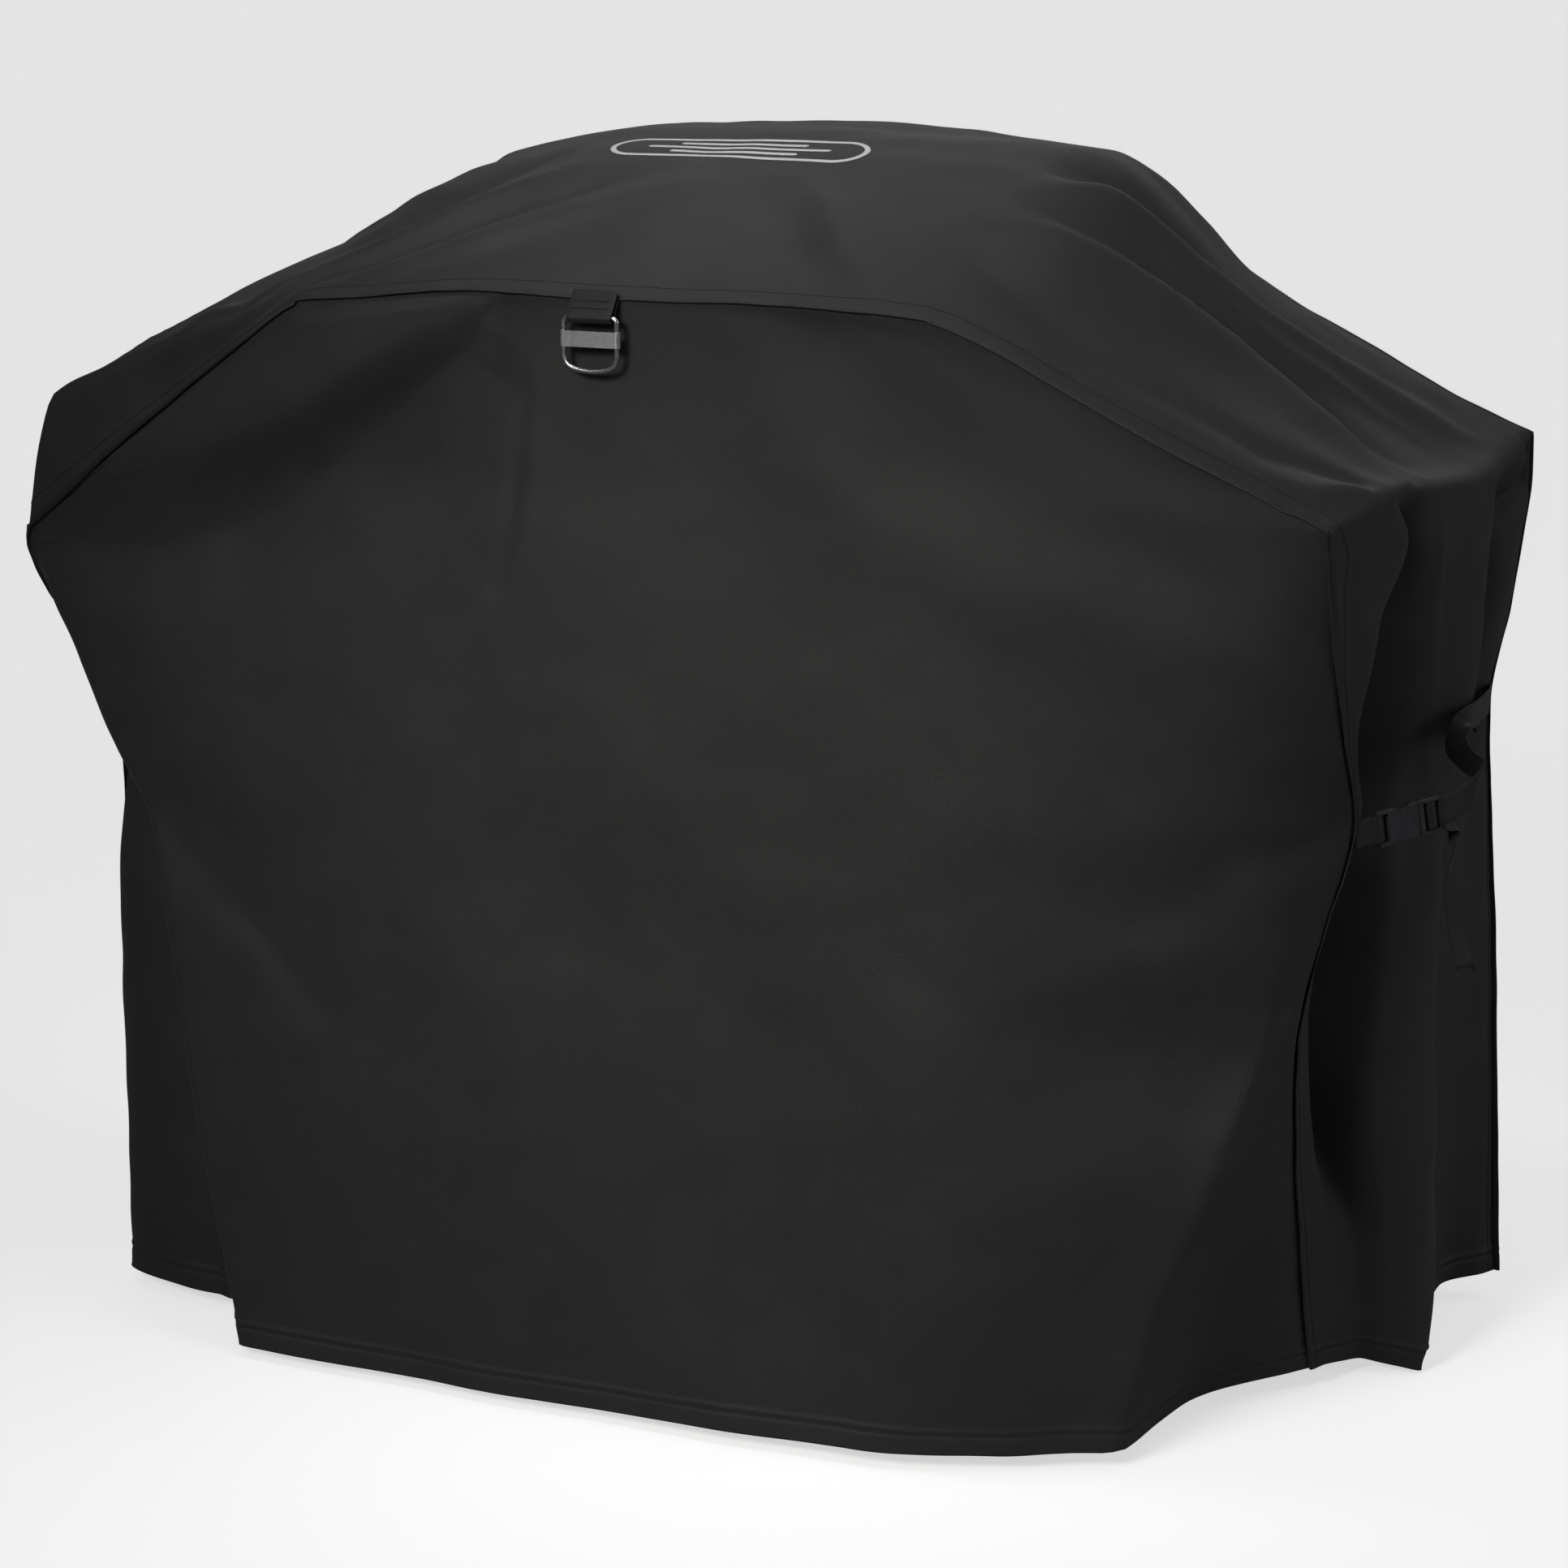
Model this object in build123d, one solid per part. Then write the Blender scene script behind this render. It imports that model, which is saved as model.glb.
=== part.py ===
from build123d import *
import math
import os

# Fitted fabric cover for a cart grill with a hood and two side shelves.
# Millimetres, +Z up, -Y is the front, +X is the right-hand side seen from the front.
# The hem stands on z = 0 and the cover's plan is centred on the origin.

# ---- driving dimensions -------------------------------------------------------------------
WIDTH = 1300.0            # across the shelves
DEPTH = 660.0             # front panel to rear panel at the shelves
HEIGHT = 1185.0           # hem to the top of the hood
SHELF_Z = 893.0           # shoulder, where the strip turns over the shelf edge
FRONT_KINK = (305.0, 1050.0)    # where the front seam turns flat over the hood (x, z)
REAR_KINK = (378.0, 1020.0)     # the same on the rear seam
RIDGE_X = 335.0           # half length of the hood's top
RIDGE_Z = 1158.0          # hood's top corners
STRAP_Z = 605.0           # height of the cinch straps on the front seam
CLOTH = 2.5               # cloth thickness with its lining and seam folds
HEM_TALL = 32.0           # turned-up hem
HEM_THICK = 2.0

FRONT_Y = -DEPTH / 2 - 4.0      # the front panel hangs a little proud of the shelf edge
REAR_Y = DEPTH / 2 + 4.0       # and the rear panel behind it
HALF_W = WIDTH / 2

# Right-hand edge of the front panel, then the two lines along the strip, then the rear seam.
# Each row is one level of the strip from the hem to the hood: (front seam, fore, aft, rear seam).
SIDE_LEVELS = [
    ((553, 10, 0), (628, 100, 0), (640, 220, 0), (645, REAR_Y, 0)),
    ((555, 8, HEM_TALL), (629, 98, HEM_TALL), (640, 219, HEM_TALL), (645, REAR_Y, HEM_TALL)),
    ((575, -50, 300), (640, 60, 300), (644, 200, 300), (638, 316, 300)),
    ((630, -190, STRAP_Z), (648, 10, 612), (648, 180, 625), (622, 270, 640)),
    ((640, -305, 780), (HALF_W, -20, 780), (HALF_W, 190, 780), (648, 322, 780)),
    ((640, FRONT_Y, SHELF_Z), (HALF_W, -30, SHELF_Z), (HALF_W, 190, SHELF_Z), (HALF_W, REAR_Y, SHELF_Z)),
]
HOOD_LEVELS = [
    ((FRONT_KINK[0], FRONT_Y, FRONT_KINK[1]), (RIDGE_X, 0, RIDGE_Z), (RIDGE_X - 20, 170, RIDGE_Z - 2),
     (REAR_KINK[0], REAR_Y, REAR_KINK[1])),
]
HOOD_MIDDLE = ((0, FRONT_Y, 1062), (0, 0, HEIGHT - 5), (0, 150, HEIGHT), (0, REAR_Y, 1034))

# The cart's front corner, round which the front panel turns below the shelf (x, y) per level.
CART_CORNER = [(452, -326), (453, -326), (500, -330), (580, -332), (625, FRONT_Y)]
CORNER_Z = [0, HEM_TALL, 300, STRAP_Z, 780]

# Hanging ring on the front seam
RING_X = -29.0            # the tab sits a little left of the middle
RING_PIVOT = (-349.0, 1039.5)   # y, z of the ring's top bar
RING_WIRE = 4.6
RING_SPAN = 52.0          # centre to centre of the ring's legs
RING_LEG = 32.0           # top bar to the end of each leg's straight part
RING_CORNER = 13.0        # radius where a leg turns into the bow
PLATE_TALL = 14.0
PLATE_THICK = 1.2
PLATE_DROP = 18.5         # top bar to the middle of the cross plate
TAB_WIDTH = 44.0
TAB_TAPE = 1.7

# Cinch strap and side-release buckle, for 25 mm webbing
WEB_WIDTH = 25.0
WEB_THICK = 1.5
STUB_LENGTH = 20.0        # webbing seen between the seam and the buckle
SEAM_CLEARANCE = 6.5      # the stub starts this far out, where it leaves the seam's fold
BUCKLE_WIDTH = 33.0
BUCKLE_THICK = 10.0
SOCKET_LENGTH = 40.0
PLUG_LENGTH = 22.0
CAVITY_DEPTH = 28.0
RAIL = 3.5                # side rail beside each webbing slot
SLOT = 6.0
BAR = 4.0
BAR_THICK = 4.0
GAP = 0.35                # running gap between moving plastic pieces
PRONG_LENGTH = 24.0
PRONG_THICK = 4.6
SEAM_ANCHOR = Vector(630, -190, STRAP_Z)
STRAP_DIRECTION = Vector(0.71, 0.685, 0.165).normalized()
REAR_ROUTE = [            # middle of the rear webbing from the buckle to the rear seam
    (703, -107, 626), (717, -83, 633), (716, -52, 641), (700, -20, 650), (686, 24, 655),
    (675, 80, 655), (666, 140, 650), (655, 200, 644), (634, 258, 640),
]
TAIL_LENGTH = 150.0
TAIL_LEAN = (0.05, 0.24)  # how far the loose tail's foot drifts in x and y, per unit of length

# Badge on the hood's front slope
BADGE_SIZE = (262.0, 62.0)
BADGE_CENTRE = (-18.0, -62.0)   # x, y
BADGE_THICK = 0.8


def left(point):
    return (-point[0], point[1], point[2])


# ---- cloth --------------------------------------------------------------------------------
def grid_normals(grid):
    """Average the facing of the cells round each grid point."""
    rows, cols = len(grid), len(grid[0])
    normals = [[Vector(0, 0, 0) for _ in range(cols)] for _ in range(rows)]
    for i in range(rows - 1):
        for j in range(cols - 1):
            across = grid[i + 1][j + 1] - grid[i][j]
            other = grid[i + 1][j] - grid[i][j + 1]
            facing = across.cross(other).normalized()
            for a, b in ((i, j), (i + 1, j), (i, j + 1), (i + 1, j + 1)):
                normals[a][b] = normals[a][b] + facing
    return [[normal.normalized() for normal in row] for row in normals]


def cloth_layer(points, start, thickness):
    """Closed sheet between two offsets of a grid of points; start is the depth of its outer face."""
    grid = [[Vector(*point) for point in row] for row in points]
    normals = grid_normals(grid)
    rows, cols = len(grid), len(grid[0])

    def offset(depth):
        return [[grid[i][j] - normals[i][j] * depth for j in range(cols)] for i in range(rows)]

    outer, inner = offset(start), offset(start + thickness)
    faces = []

    def triangle(a, b, c):
        faces.append(Face(Wire.make_polygon([a, b, c], close=True)))

    def quad(a, b, c, d):
        triangle(a, b, c)
        triangle(a, c, d)

    for layer in (outer, inner):
        for i in range(rows - 1):
            for j in range(cols - 1):
                quad(layer[i][j], layer[i][j + 1], layer[i + 1][j + 1], layer[i + 1][j])
    for j in range(cols - 1):
        for i in (0, rows - 1):
            quad(outer[i][j], outer[i][j + 1], inner[i][j + 1], inner[i][j])
    for i in range(rows - 1):
        for j in (0, cols - 1):
            quad(outer[i][j], outer[i + 1][j], inner[i + 1][j], inner[i][j])
    sheet = Solid(Shell(faces))
    return sheet if sheet.volume > 0 else -sheet


def level_with_floor(shape):
    """Trim whatever the offset pushed under the floor, so that the hem is flat."""
    below = Pos(0, 0, -50) * Box(2 * WIDTH, 2 * DEPTH, 100)
    return shape - below


def strip_grid():
    """Whole top-and-side strip, from the right hem over the hood to the left hem."""
    right_half = SIDE_LEVELS + HOOD_LEVELS
    left_half = [[left(point) for point in level] for level in reversed(right_half)]
    return right_half + [HOOD_MIDDLE] + left_half


def front_grid():
    """Front panel rows from the hem up; each row runs from the left seam to the right seam."""
    rows = []
    for level, (level_z, corner) in enumerate(zip(CORNER_Z, CART_CORNER)):
        seam = SIDE_LEVELS[level][0]
        turn = (corner[0], corner[1], level_z)
        middle = (0, FRONT_Y, level_z)
        rows.append([left(seam), left(turn), middle, turn, seam])
    shoulder = SIDE_LEVELS[-1][0]
    inner = (FRONT_KINK[0], FRONT_Y, SHELF_Z)
    rows.append([left(shoulder), left(inner), (0, FRONT_Y, SHELF_Z), inner, shoulder])
    return rows


def rear_grid():
    """Rear panel rows, the same way, seen from behind."""
    rows = []
    for level in SIDE_LEVELS:
        seam = level[3]
        inner = (REAR_KINK[0], REAR_Y, seam[2])
        rows.append([seam, inner, (0, REAR_Y, seam[2]), left(inner), left(seam)])
    return rows


def gable(y_outer, y_inner, kink, middle_z):
    """Flat upper part of a panel, above the shelf level."""
    outline = [(HALF_W - 10, SHELF_Z), kink, (0, middle_z), (-kink[0], kink[1]), (10 - HALF_W, SHELF_Z)]
    wire = Wire.make_polygon([Vector(x, y_outer, z) for x, z in outline], close=True)
    return Solid.extrude(Face(wire), Vector(0, y_inner - y_outer, 0))


def front_panel():
    lower = cloth_layer(front_grid(), 0, CLOTH)
    upper = gable(FRONT_Y, FRONT_Y + CLOTH, FRONT_KINK, HOOD_MIDDLE[0][2])
    return level_with_floor(lower + upper)


def rear_panel():
    lower = cloth_layer(rear_grid(), 0, CLOTH)
    upper = gable(REAR_Y, REAR_Y - CLOTH, REAR_KINK, HOOD_MIDDLE[3][2])
    return level_with_floor(lower + upper)


def hem_of(grid):
    """Second turn of cloth inside a panel, along its two lowest rows."""
    return level_with_floor(cloth_layer(grid[:2], CLOTH, HEM_THICK))


def side_hem(mirrored):
    rows = SIDE_LEVELS[:2]
    if mirrored:
        rows = [[left(point) for point in row] for row in reversed(rows)]
    return level_with_floor(cloth_layer(rows, CLOTH, HEM_THICK))


def trim(shape, *others):
    """Cut away what a neighbouring piece already fills, and keep the largest solid."""
    for other in others:
        shape = shape - other
    return max(shape.solids(), key=lambda solid: solid.volume)


# ---- hanging ring -------------------------------------------------------------------------
def ring_wire():
    pivot_y, pivot_z = RING_PIVOT
    half = RING_SPAN / 2
    corner = 4.0
    inset = corner * (1 - math.sqrt(0.5))
    top = [(-half, -RING_LEG), (-half, -corner), (corner - half, 0), (half - corner, 0),
           (half, -corner), (half, -RING_LEG)]
    plane = Plane(origin=(RING_X, pivot_y, pivot_z), x_dir=(1, 0, 0), z_dir=(0, -1, 0))
    # each leg turns through 75 degrees, then one shallow arc closes the bow
    middle, turn = half - RING_CORNER, math.radians(75)
    end = (middle + RING_CORNER * math.cos(turn), -RING_LEG - RING_CORNER * math.sin(turn))
    halfway = (middle + RING_CORNER * math.cos(turn / 2), -RING_LEG - RING_CORNER * math.sin(turn / 2))
    right_corner = ThreePointArc(top[5], halfway, end)
    lowest = end[1] - end[0] * math.tan(math.radians(7.5))
    bow = ThreePointArc(end, (0, lowest), (-end[0], end[1]))
    left_corner = ThreePointArc((-end[0], end[1]), (-halfway[0], halfway[1]), top[0])
    path = Wire([Line(top[0], top[1]), ThreePointArc(top[1], (inset - half, -inset), top[2]),
                 Line(top[2], top[3]), ThreePointArc(top[3], (half - inset, -inset), top[4]),
                 Line(top[4], top[5]), right_corner, bow, left_corner])
    path = plane.location * path
    start = path.edges()[0]
    section = Plane(origin=start @ 0, z_dir=start % 0) * Circle(RING_WIRE / 2)
    return sweep(section, path=path, transition=Transition.ROUND)


def ring_plate(wire):
    """Flat plate across the ring, with its ends wrapped round the legs."""
    pivot_y, pivot_z = RING_PIVOT
    middle = Pos(RING_X, pivot_y - RING_WIRE / 2 - PLATE_THICK / 2, pivot_z - PLATE_DROP)
    plate = middle * Box(RING_SPAN, PLATE_THICK, PLATE_TALL)
    for side in (-1, 1):
        leg = Pos(RING_X + side * RING_SPAN / 2, pivot_y, pivot_z - PLATE_DROP)
        plate += leg * Cylinder(RING_WIRE / 2 + PLATE_THICK, PLATE_TALL)
    inside = Pos(RING_X, pivot_y + RING_WIRE / 2, pivot_z - PLATE_DROP)
    plate -= inside * Box(RING_SPAN, RING_WIRE + 2 * PLATE_THICK, PLATE_TALL + 1)
    return plate - wire


def ring_tab():
    """Webbing folded round the ring's top bar and sewn under the seam."""
    pivot_y, pivot_z = RING_PIVOT
    bar_radius = RING_WIRE / 2 + GAP
    loop = Pos(RING_X, pivot_y, pivot_z) * Rot(0, 90, 0) * Cylinder(bar_radius + TAB_TAPE, TAB_WIDTH)
    seam_y, seam_z = FRONT_Y, HOOD_MIDDLE[0][2] - 4
    run = Vector(0, seam_y - pivot_y, seam_z - pivot_z)
    plane = Plane(origin=(RING_X, pivot_y, pivot_z), x_dir=(1, 0, 0), z_dir=run.normalized())
    strap = plane.location * (Pos(0, 0, run.length / 2) * Box(TAB_WIDTH, 2 * TAB_TAPE, run.length))
    eye = Pos(RING_X, pivot_y, pivot_z) * Rot(0, 90, 0) * Cylinder(bar_radius, TAB_WIDTH + 2)
    behind = Pos(RING_X, FRONT_Y + 25, seam_z) * Box(TAB_WIDTH + 4, 50, 80)
    return loop + strap - eye - behind


# ---- side-release buckle ------------------------------------------------------------------
# Local frame: the mouth of the socket is the origin, +X runs out of the socket along the strap,
# Z is across the webbing and -Y faces out, away from the cover.
def rounded_box(low_x, high_x, width, thick, edge):
    block = Pos((low_x + high_x) / 2, 0, 0) * Box(high_x - low_x, thick, width)
    return fillet(block.edges(), edge)


def buckle_socket():
    half = BUCKLE_WIDTH / 2
    body = rounded_box(-SOCKET_LENGTH, 0, BUCKLE_WIDTH, BUCKLE_THICK, 1.6)
    cavity = Pos(-CAVITY_DEPTH / 2 + 1, 0, 0) * Box(CAVITY_DEPTH + 2, BUCKLE_THICK - 4, BUCKLE_WIDTH - 6)
    body -= cavity
    for side in (-1, 1):
        window = Pos(-16, 0, side * half) * Box(15, BUCKLE_THICK - 3.4, 12)
        scoop = Pos(-16, 0, side * (half + 11.6)) * Cylinder(14, BUCKLE_THICK + 2, rotation=(90, 0, 0))
        body = body - window - scoop
    slot_x = -SOCKET_LENGTH + BAR + SLOT / 2
    body -= Pos(slot_x, 0, 0) * Box(SLOT, BUCKLE_THICK + 2, BUCKLE_WIDTH - 2 * RAIL)
    recess_x = -SOCKET_LENGTH + BAR / 2
    for side in (-1, 1):
        recess = Box(BAR + 4, BUCKLE_THICK, BUCKLE_WIDTH - 2 * RAIL)
        body -= Pos(recess_x - 2, side * (BAR_THICK / 2 + BUCKLE_THICK / 2), 0) * recess
    return body


def buckle_plug():
    """Ladder end for the adjustable webbing, with the guide tongue between the prongs."""
    inner = BUCKLE_WIDTH - 2 * RAIL
    body = rounded_box(GAP, PLUG_LENGTH, BUCKLE_WIDTH, BUCKLE_THICK - 2, 1.4)
    first = 5.5
    for slot_x in (first, first + SLOT + BAR):
        body -= Pos(slot_x + SLOT / 2, 0, 0) * Box(SLOT, BUCKLE_THICK, inner)
    for side in (-1, 1):
        recess = Pos(first + SLOT / 2 + 8.5, side * (BAR_THICK / 2 + 5), 0) * Box(17, 10, inner)
        body -= recess
    tongue = Pos(-8.5, 0, 0) * Box(19, 4.4, 6)
    return body + tongue


def buckle_prong(side):
    """Springy arm of the plug, with the barbed head that fills the socket's side window."""
    outline = [(-0.2, 5.2), (-0.2, 9.6), (-9.2, 12.6), (-9.4, 15.6), (-18.0, 15.9), (-PRONG_LENGTH + 1, 11.6),
               (-PRONG_LENGTH, 8.4), (-9.0, 8.0)]
    points = [Vector(x, -PRONG_THICK / 2, side * z) for x, z in outline]
    arm = Solid.extrude(Face(Wire.make_polygon(points, close=True)), Vector(0, PRONG_THICK, 0))
    return arm if arm.volume > 0 else -arm


def webbing_on_bar(bar_x, reach):
    """Flat loop of webbing round a bar, with its two layers running on to reach."""
    length = BAR + 2 * GAP
    thick = BAR_THICK + 2 * GAP
    hole = Pos(bar_x, 0, 0) * Box(length, thick, WEB_WIDTH + 2)
    loop = Pos(bar_x, 0, 0) * Box(length + 2 * WEB_THICK, thick + 2 * WEB_THICK, WEB_WIDTH)
    loop = fillet(loop.edges().filter_by(Axis.Z), WEB_THICK)
    run = Pos((bar_x + reach) / 2, 0, 0) * Box(abs(reach - bar_x), 2 * WEB_THICK, WEB_WIDTH)
    return loop + run - hole


def strap_frame():
    """Place of the buckle's local frame on the right-hand strap."""
    mouth = SEAM_ANCHOR + STRAP_DIRECTION * (STUB_LENGTH + SOCKET_LENGTH)
    outward = Vector(STRAP_DIRECTION.Y, -STRAP_DIRECTION.X, 0).normalized()
    across = STRAP_DIRECTION.cross(outward * -1).normalized()
    return Plane(origin=mouth, x_dir=STRAP_DIRECTION, z_dir=across)


def front_stub():
    bar_x = -SOCKET_LENGTH + BAR / 2
    return webbing_on_bar(bar_x, -SOCKET_LENGTH - STUB_LENGTH + SEAM_CLEARANCE)


def rear_webbing():
    """Adjustable webbing from the buckle, slack beside the cover, to the rear seam."""
    band = None
    points = [Vector(*point) for point in REAR_ROUTE]
    for a, b in zip(points, points[1:]):
        run = b - a
        level = Vector(run.X, run.Y, 0)
        angle = math.degrees(math.atan2(level.Y, level.X))
        piece = Pos(*((a + b) * 0.5)) * Rot(0, 0, angle) * Box(level.length, WEB_THICK, WEB_WIDTH)
        knuckle = Pos(*b) * Cylinder(WEB_THICK / 2, WEB_WIDTH)
        band = piece + knuckle if band is None else band + piece + knuckle
    return band


def webbing_tail():
    """Loose end, hanging from the plug's ladder down beside the pleat."""
    top = Vector(*REAR_ROUTE[0]) + Vector(-1.0, -8.0, -16.0)
    foot = top + Vector(TAIL_LEAN[0], TAIL_LEAN[1], -1).normalized() * TAIL_LENGTH
    along = (foot - top).normalized()
    plane = Plane(origin=(top + foot) * 0.5, x_dir=Vector(0.5, 0.86, 0), z_dir=along)
    return plane.location * Box(WEB_WIDTH, WEB_THICK, TAIL_LENGTH)


def strap_pieces():
    """Right-hand strap: name and solid of each piece, in the cover's frame."""
    place = strap_frame().location
    return {
        "strap_stub": place * front_stub(),
        "buckle_socket": place * buckle_socket(),
        "buckle_plug": place * buckle_plug(),
        "prong_upper": place * buckle_prong(1),
        "prong_lower": place * buckle_prong(-1),
        "rear_webbing": rear_webbing(),
        "webbing_tail": webbing_tail(),
    }


# ---- badge --------------------------------------------------------------------------------
def badge():
    """Plain printed badge: a stadium outline round three bars, lying on the hood's front slope."""
    wide, tall = BADGE_SIZE
    slope = math.degrees(math.atan2(HOOD_MIDDLE[1][2] - HOOD_MIDDLE[0][2], -FRONT_Y))
    face = SlotOverall(wide, tall) - SlotOverall(wide - 12, tall - 12)
    for row, length in ((1, 0.52), (0, 0.74), (-1, 0.52)):
        face += Pos(0, row * 14) * SlotOverall(wide * length, 6)
    rise = HOOD_MIDDLE[0][2] + (BADGE_CENTRE[1] - FRONT_Y) * math.tan(math.radians(slope))
    return Pos(BADGE_CENTRE[0], BADGE_CENTRE[1], rise + 1.2) * Rot(slope, 0, 0) * extrude(face, BADGE_THICK)


# ---- write the parts ----------------------------------------------------------------------
def build():
    parts = {}
    parts["front_panel"] = front_panel()
    parts["rear_panel"] = rear_panel()
    strip = level_with_floor(cloth_layer(strip_grid(), 0, CLOTH))
    parts["top_and_side_panel"] = trim(strip, parts["front_panel"], parts["rear_panel"])
    parts["front_hem"] = trim(hem_of(front_grid()), parts["front_panel"], parts["top_and_side_panel"])
    parts["rear_hem"] = trim(hem_of(rear_grid()), parts["rear_panel"], parts["top_and_side_panel"])
    panels = list(parts.values())
    parts["right_hem"] = trim(side_hem(False), *panels)
    parts["left_hem"] = trim(side_hem(True), *panels)
    parts["badge"] = badge()
    parts["hanging_ring"] = ring_wire()
    parts["ring_cross_plate"] = ring_plate(parts["hanging_ring"])
    parts["hanger_tab"] = ring_tab()
    for name, shape in strap_pieces().items():
        parts["right_" + name] = shape
        parts["left_" + name] = mirror(shape, about=Plane.YZ)
    return parts


def write(parts):
    os.makedirs("parts", exist_ok=True)
    for name, shape in parts.items():
        export_step(shape, f"parts/{name}.step")


write(build())
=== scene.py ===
import math

import bmesh
import bpy
import numpy as np
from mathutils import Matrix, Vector, noise
from mathutils.bvhtree import BVHTree

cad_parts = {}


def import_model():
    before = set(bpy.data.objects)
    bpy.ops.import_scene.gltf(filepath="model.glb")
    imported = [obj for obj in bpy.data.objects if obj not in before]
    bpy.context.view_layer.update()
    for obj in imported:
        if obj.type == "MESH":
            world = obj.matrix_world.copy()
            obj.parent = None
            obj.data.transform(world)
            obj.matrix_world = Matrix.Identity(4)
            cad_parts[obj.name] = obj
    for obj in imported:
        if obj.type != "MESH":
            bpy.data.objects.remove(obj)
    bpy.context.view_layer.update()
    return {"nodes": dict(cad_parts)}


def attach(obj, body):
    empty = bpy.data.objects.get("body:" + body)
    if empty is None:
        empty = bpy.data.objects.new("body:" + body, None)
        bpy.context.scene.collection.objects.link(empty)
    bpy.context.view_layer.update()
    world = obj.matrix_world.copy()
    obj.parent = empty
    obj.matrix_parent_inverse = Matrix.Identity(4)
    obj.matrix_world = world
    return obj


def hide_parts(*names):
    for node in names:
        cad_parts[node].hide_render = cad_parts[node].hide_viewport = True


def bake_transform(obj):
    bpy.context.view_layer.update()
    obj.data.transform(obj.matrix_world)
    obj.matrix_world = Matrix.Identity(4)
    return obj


# Looks of a draped grill cover: cloth panels, seams, hems, webbing, buckles and ring.
# Metres, +Z up, the front panel faces -Y.

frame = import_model()

# ---- driving sizes ------------------------------------------------------------------------
REAR_Y = 0.334
CLOTH = 0.0013            # thickness that shows at edges
SIDE_ROWS = 90            # stations from the hem to the shelf corner
SLOPE_ROWS = 36           # stations from the shelf corner to the hood's kink
KINK = SIDE_ROWS + SLOPE_ROWS
LAST = 2 * 154            # station of the left hem
ROW_HEIGHT = 0.0099       # one station on the side
STRIP_COLUMNS = 96        # cells across the strip
PANEL_COLUMNS = 168       # cells across the front and rear panels
HEM_TALL = 0.026
HEM_STITCH = 0.020        # height of the hem's stitching
HEM_PROUD = 0.0012        # how far the doubled cloth stands out, and its stitching dents it
FINE = 4                  # stations beside each hem that have closer rows
FINE_STEP = 0.2           # stations between rows beside a hem
STEP = 0.5                # stations between rows elsewhere
HEM_ROWS = np.arange(0, FINE + FINE_STEP / 2, FINE_STEP)
ROW_AT = np.r_[np.arange(0, FINE, FINE_STEP), np.arange(FINE, LAST - FINE, STEP), LAST - HEM_ROWS[::-1]]

# Key lines across the strip, from the front seam to the rear seam.
# Each key row is (station, eight points, numbers of the points where it turns sharply). The first
# point is on the front seam and the last on the rear seam. Between them the right side has a ridge,
# a hollow, a pleat's foot and crest, a second hollow and a rear swell; the top's are evenly spread.
COLUMN_AT = (0.0, 0.10, 0.24, 0.37, 0.60, 0.73, 0.87, 1.0)

RIGHT_SIDE = [
    (0, [(.553, .006, .028), (.568, .045, .022), (.584, .078, .016), (.612, .086, .01),
         (.636, .1, .004), (.602, .18, .012), (.604, .275, .026), (.655, .334, .03)], ()),
    (13, [(.56, -.06, .152), (.574, -.03, .15), (.584, .02, .15), (.614, .04, .145),
          (.645, .084, .135), (.6, .165, .14), (.611, .265, .15), (.649, .334, .155)], ()),
    (27, [(.573, -.145, .3), (.577, -.11, .3), (.545, -.05, .3), (.612, -.03, .295),
          (.652, .045, .29), (.606, .14, .295), (.616, .25, .3), (.639, .332, .305)], ()),
    (40, [(.583, -.19, .42), (.583, -.16, .42), (.53, -.095, .42), (.619, -.045, .42),
          (.654, .022, .425), (.612, .12, .425), (.618, .23, .43), (.634, .324, .43)], ()),
    (51, [(.612, -.197, .525), (.604, -.176, .525), (.522, -.1, .53), (.626, -.038, .53),
          (.656, .02, .535), (.616, .11, .54), (.621, .21, .545), (.632, .304, .55)], ()),
    (59, [(.63, -.19, .603), (.63, -.176, .607), (.524, -.09, .612), (.622, -.01, .615),
          (.656, .06, .62), (.6, .15, .625), (.626, .21, .632), (.633, .277, .64)], ()),
    (69, [(.637, -.252, .702), (.642, -.231, .706), (.522, -.118, .706), (.633, -.012, .7),
          (.66, .098, .696), (.585, .19, .694), (.639, .262, .702), (.64, .316, .72)], ()),
    (78, [(.64, -.3, .79), (.653, -.226, .796), (.532, -.132, .79), (.64, -.022, .78),
          (.66, .118, .772), (.588, .205, .768), (.646, .28, .776), (.648, .328, .795)], ()),
    (85, [(.641, -.324, .855), (.655, -.15, .858), (.585, -.1, .85), (.647, -.045, .845),
          (.657, .14, .838), (.612, .215, .828), (.65, .3, .838), (.651, .334, .852)], ()),
    (90, [(.64, -.334, .893), (.648, -.205, .903), (.647, -.115, .898), (.648, -.036, .888),
          (.65, .15, .873), (.645, .235, .874), (.649, .3, .886), (.65, .334, .893)], ()),
]
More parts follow.
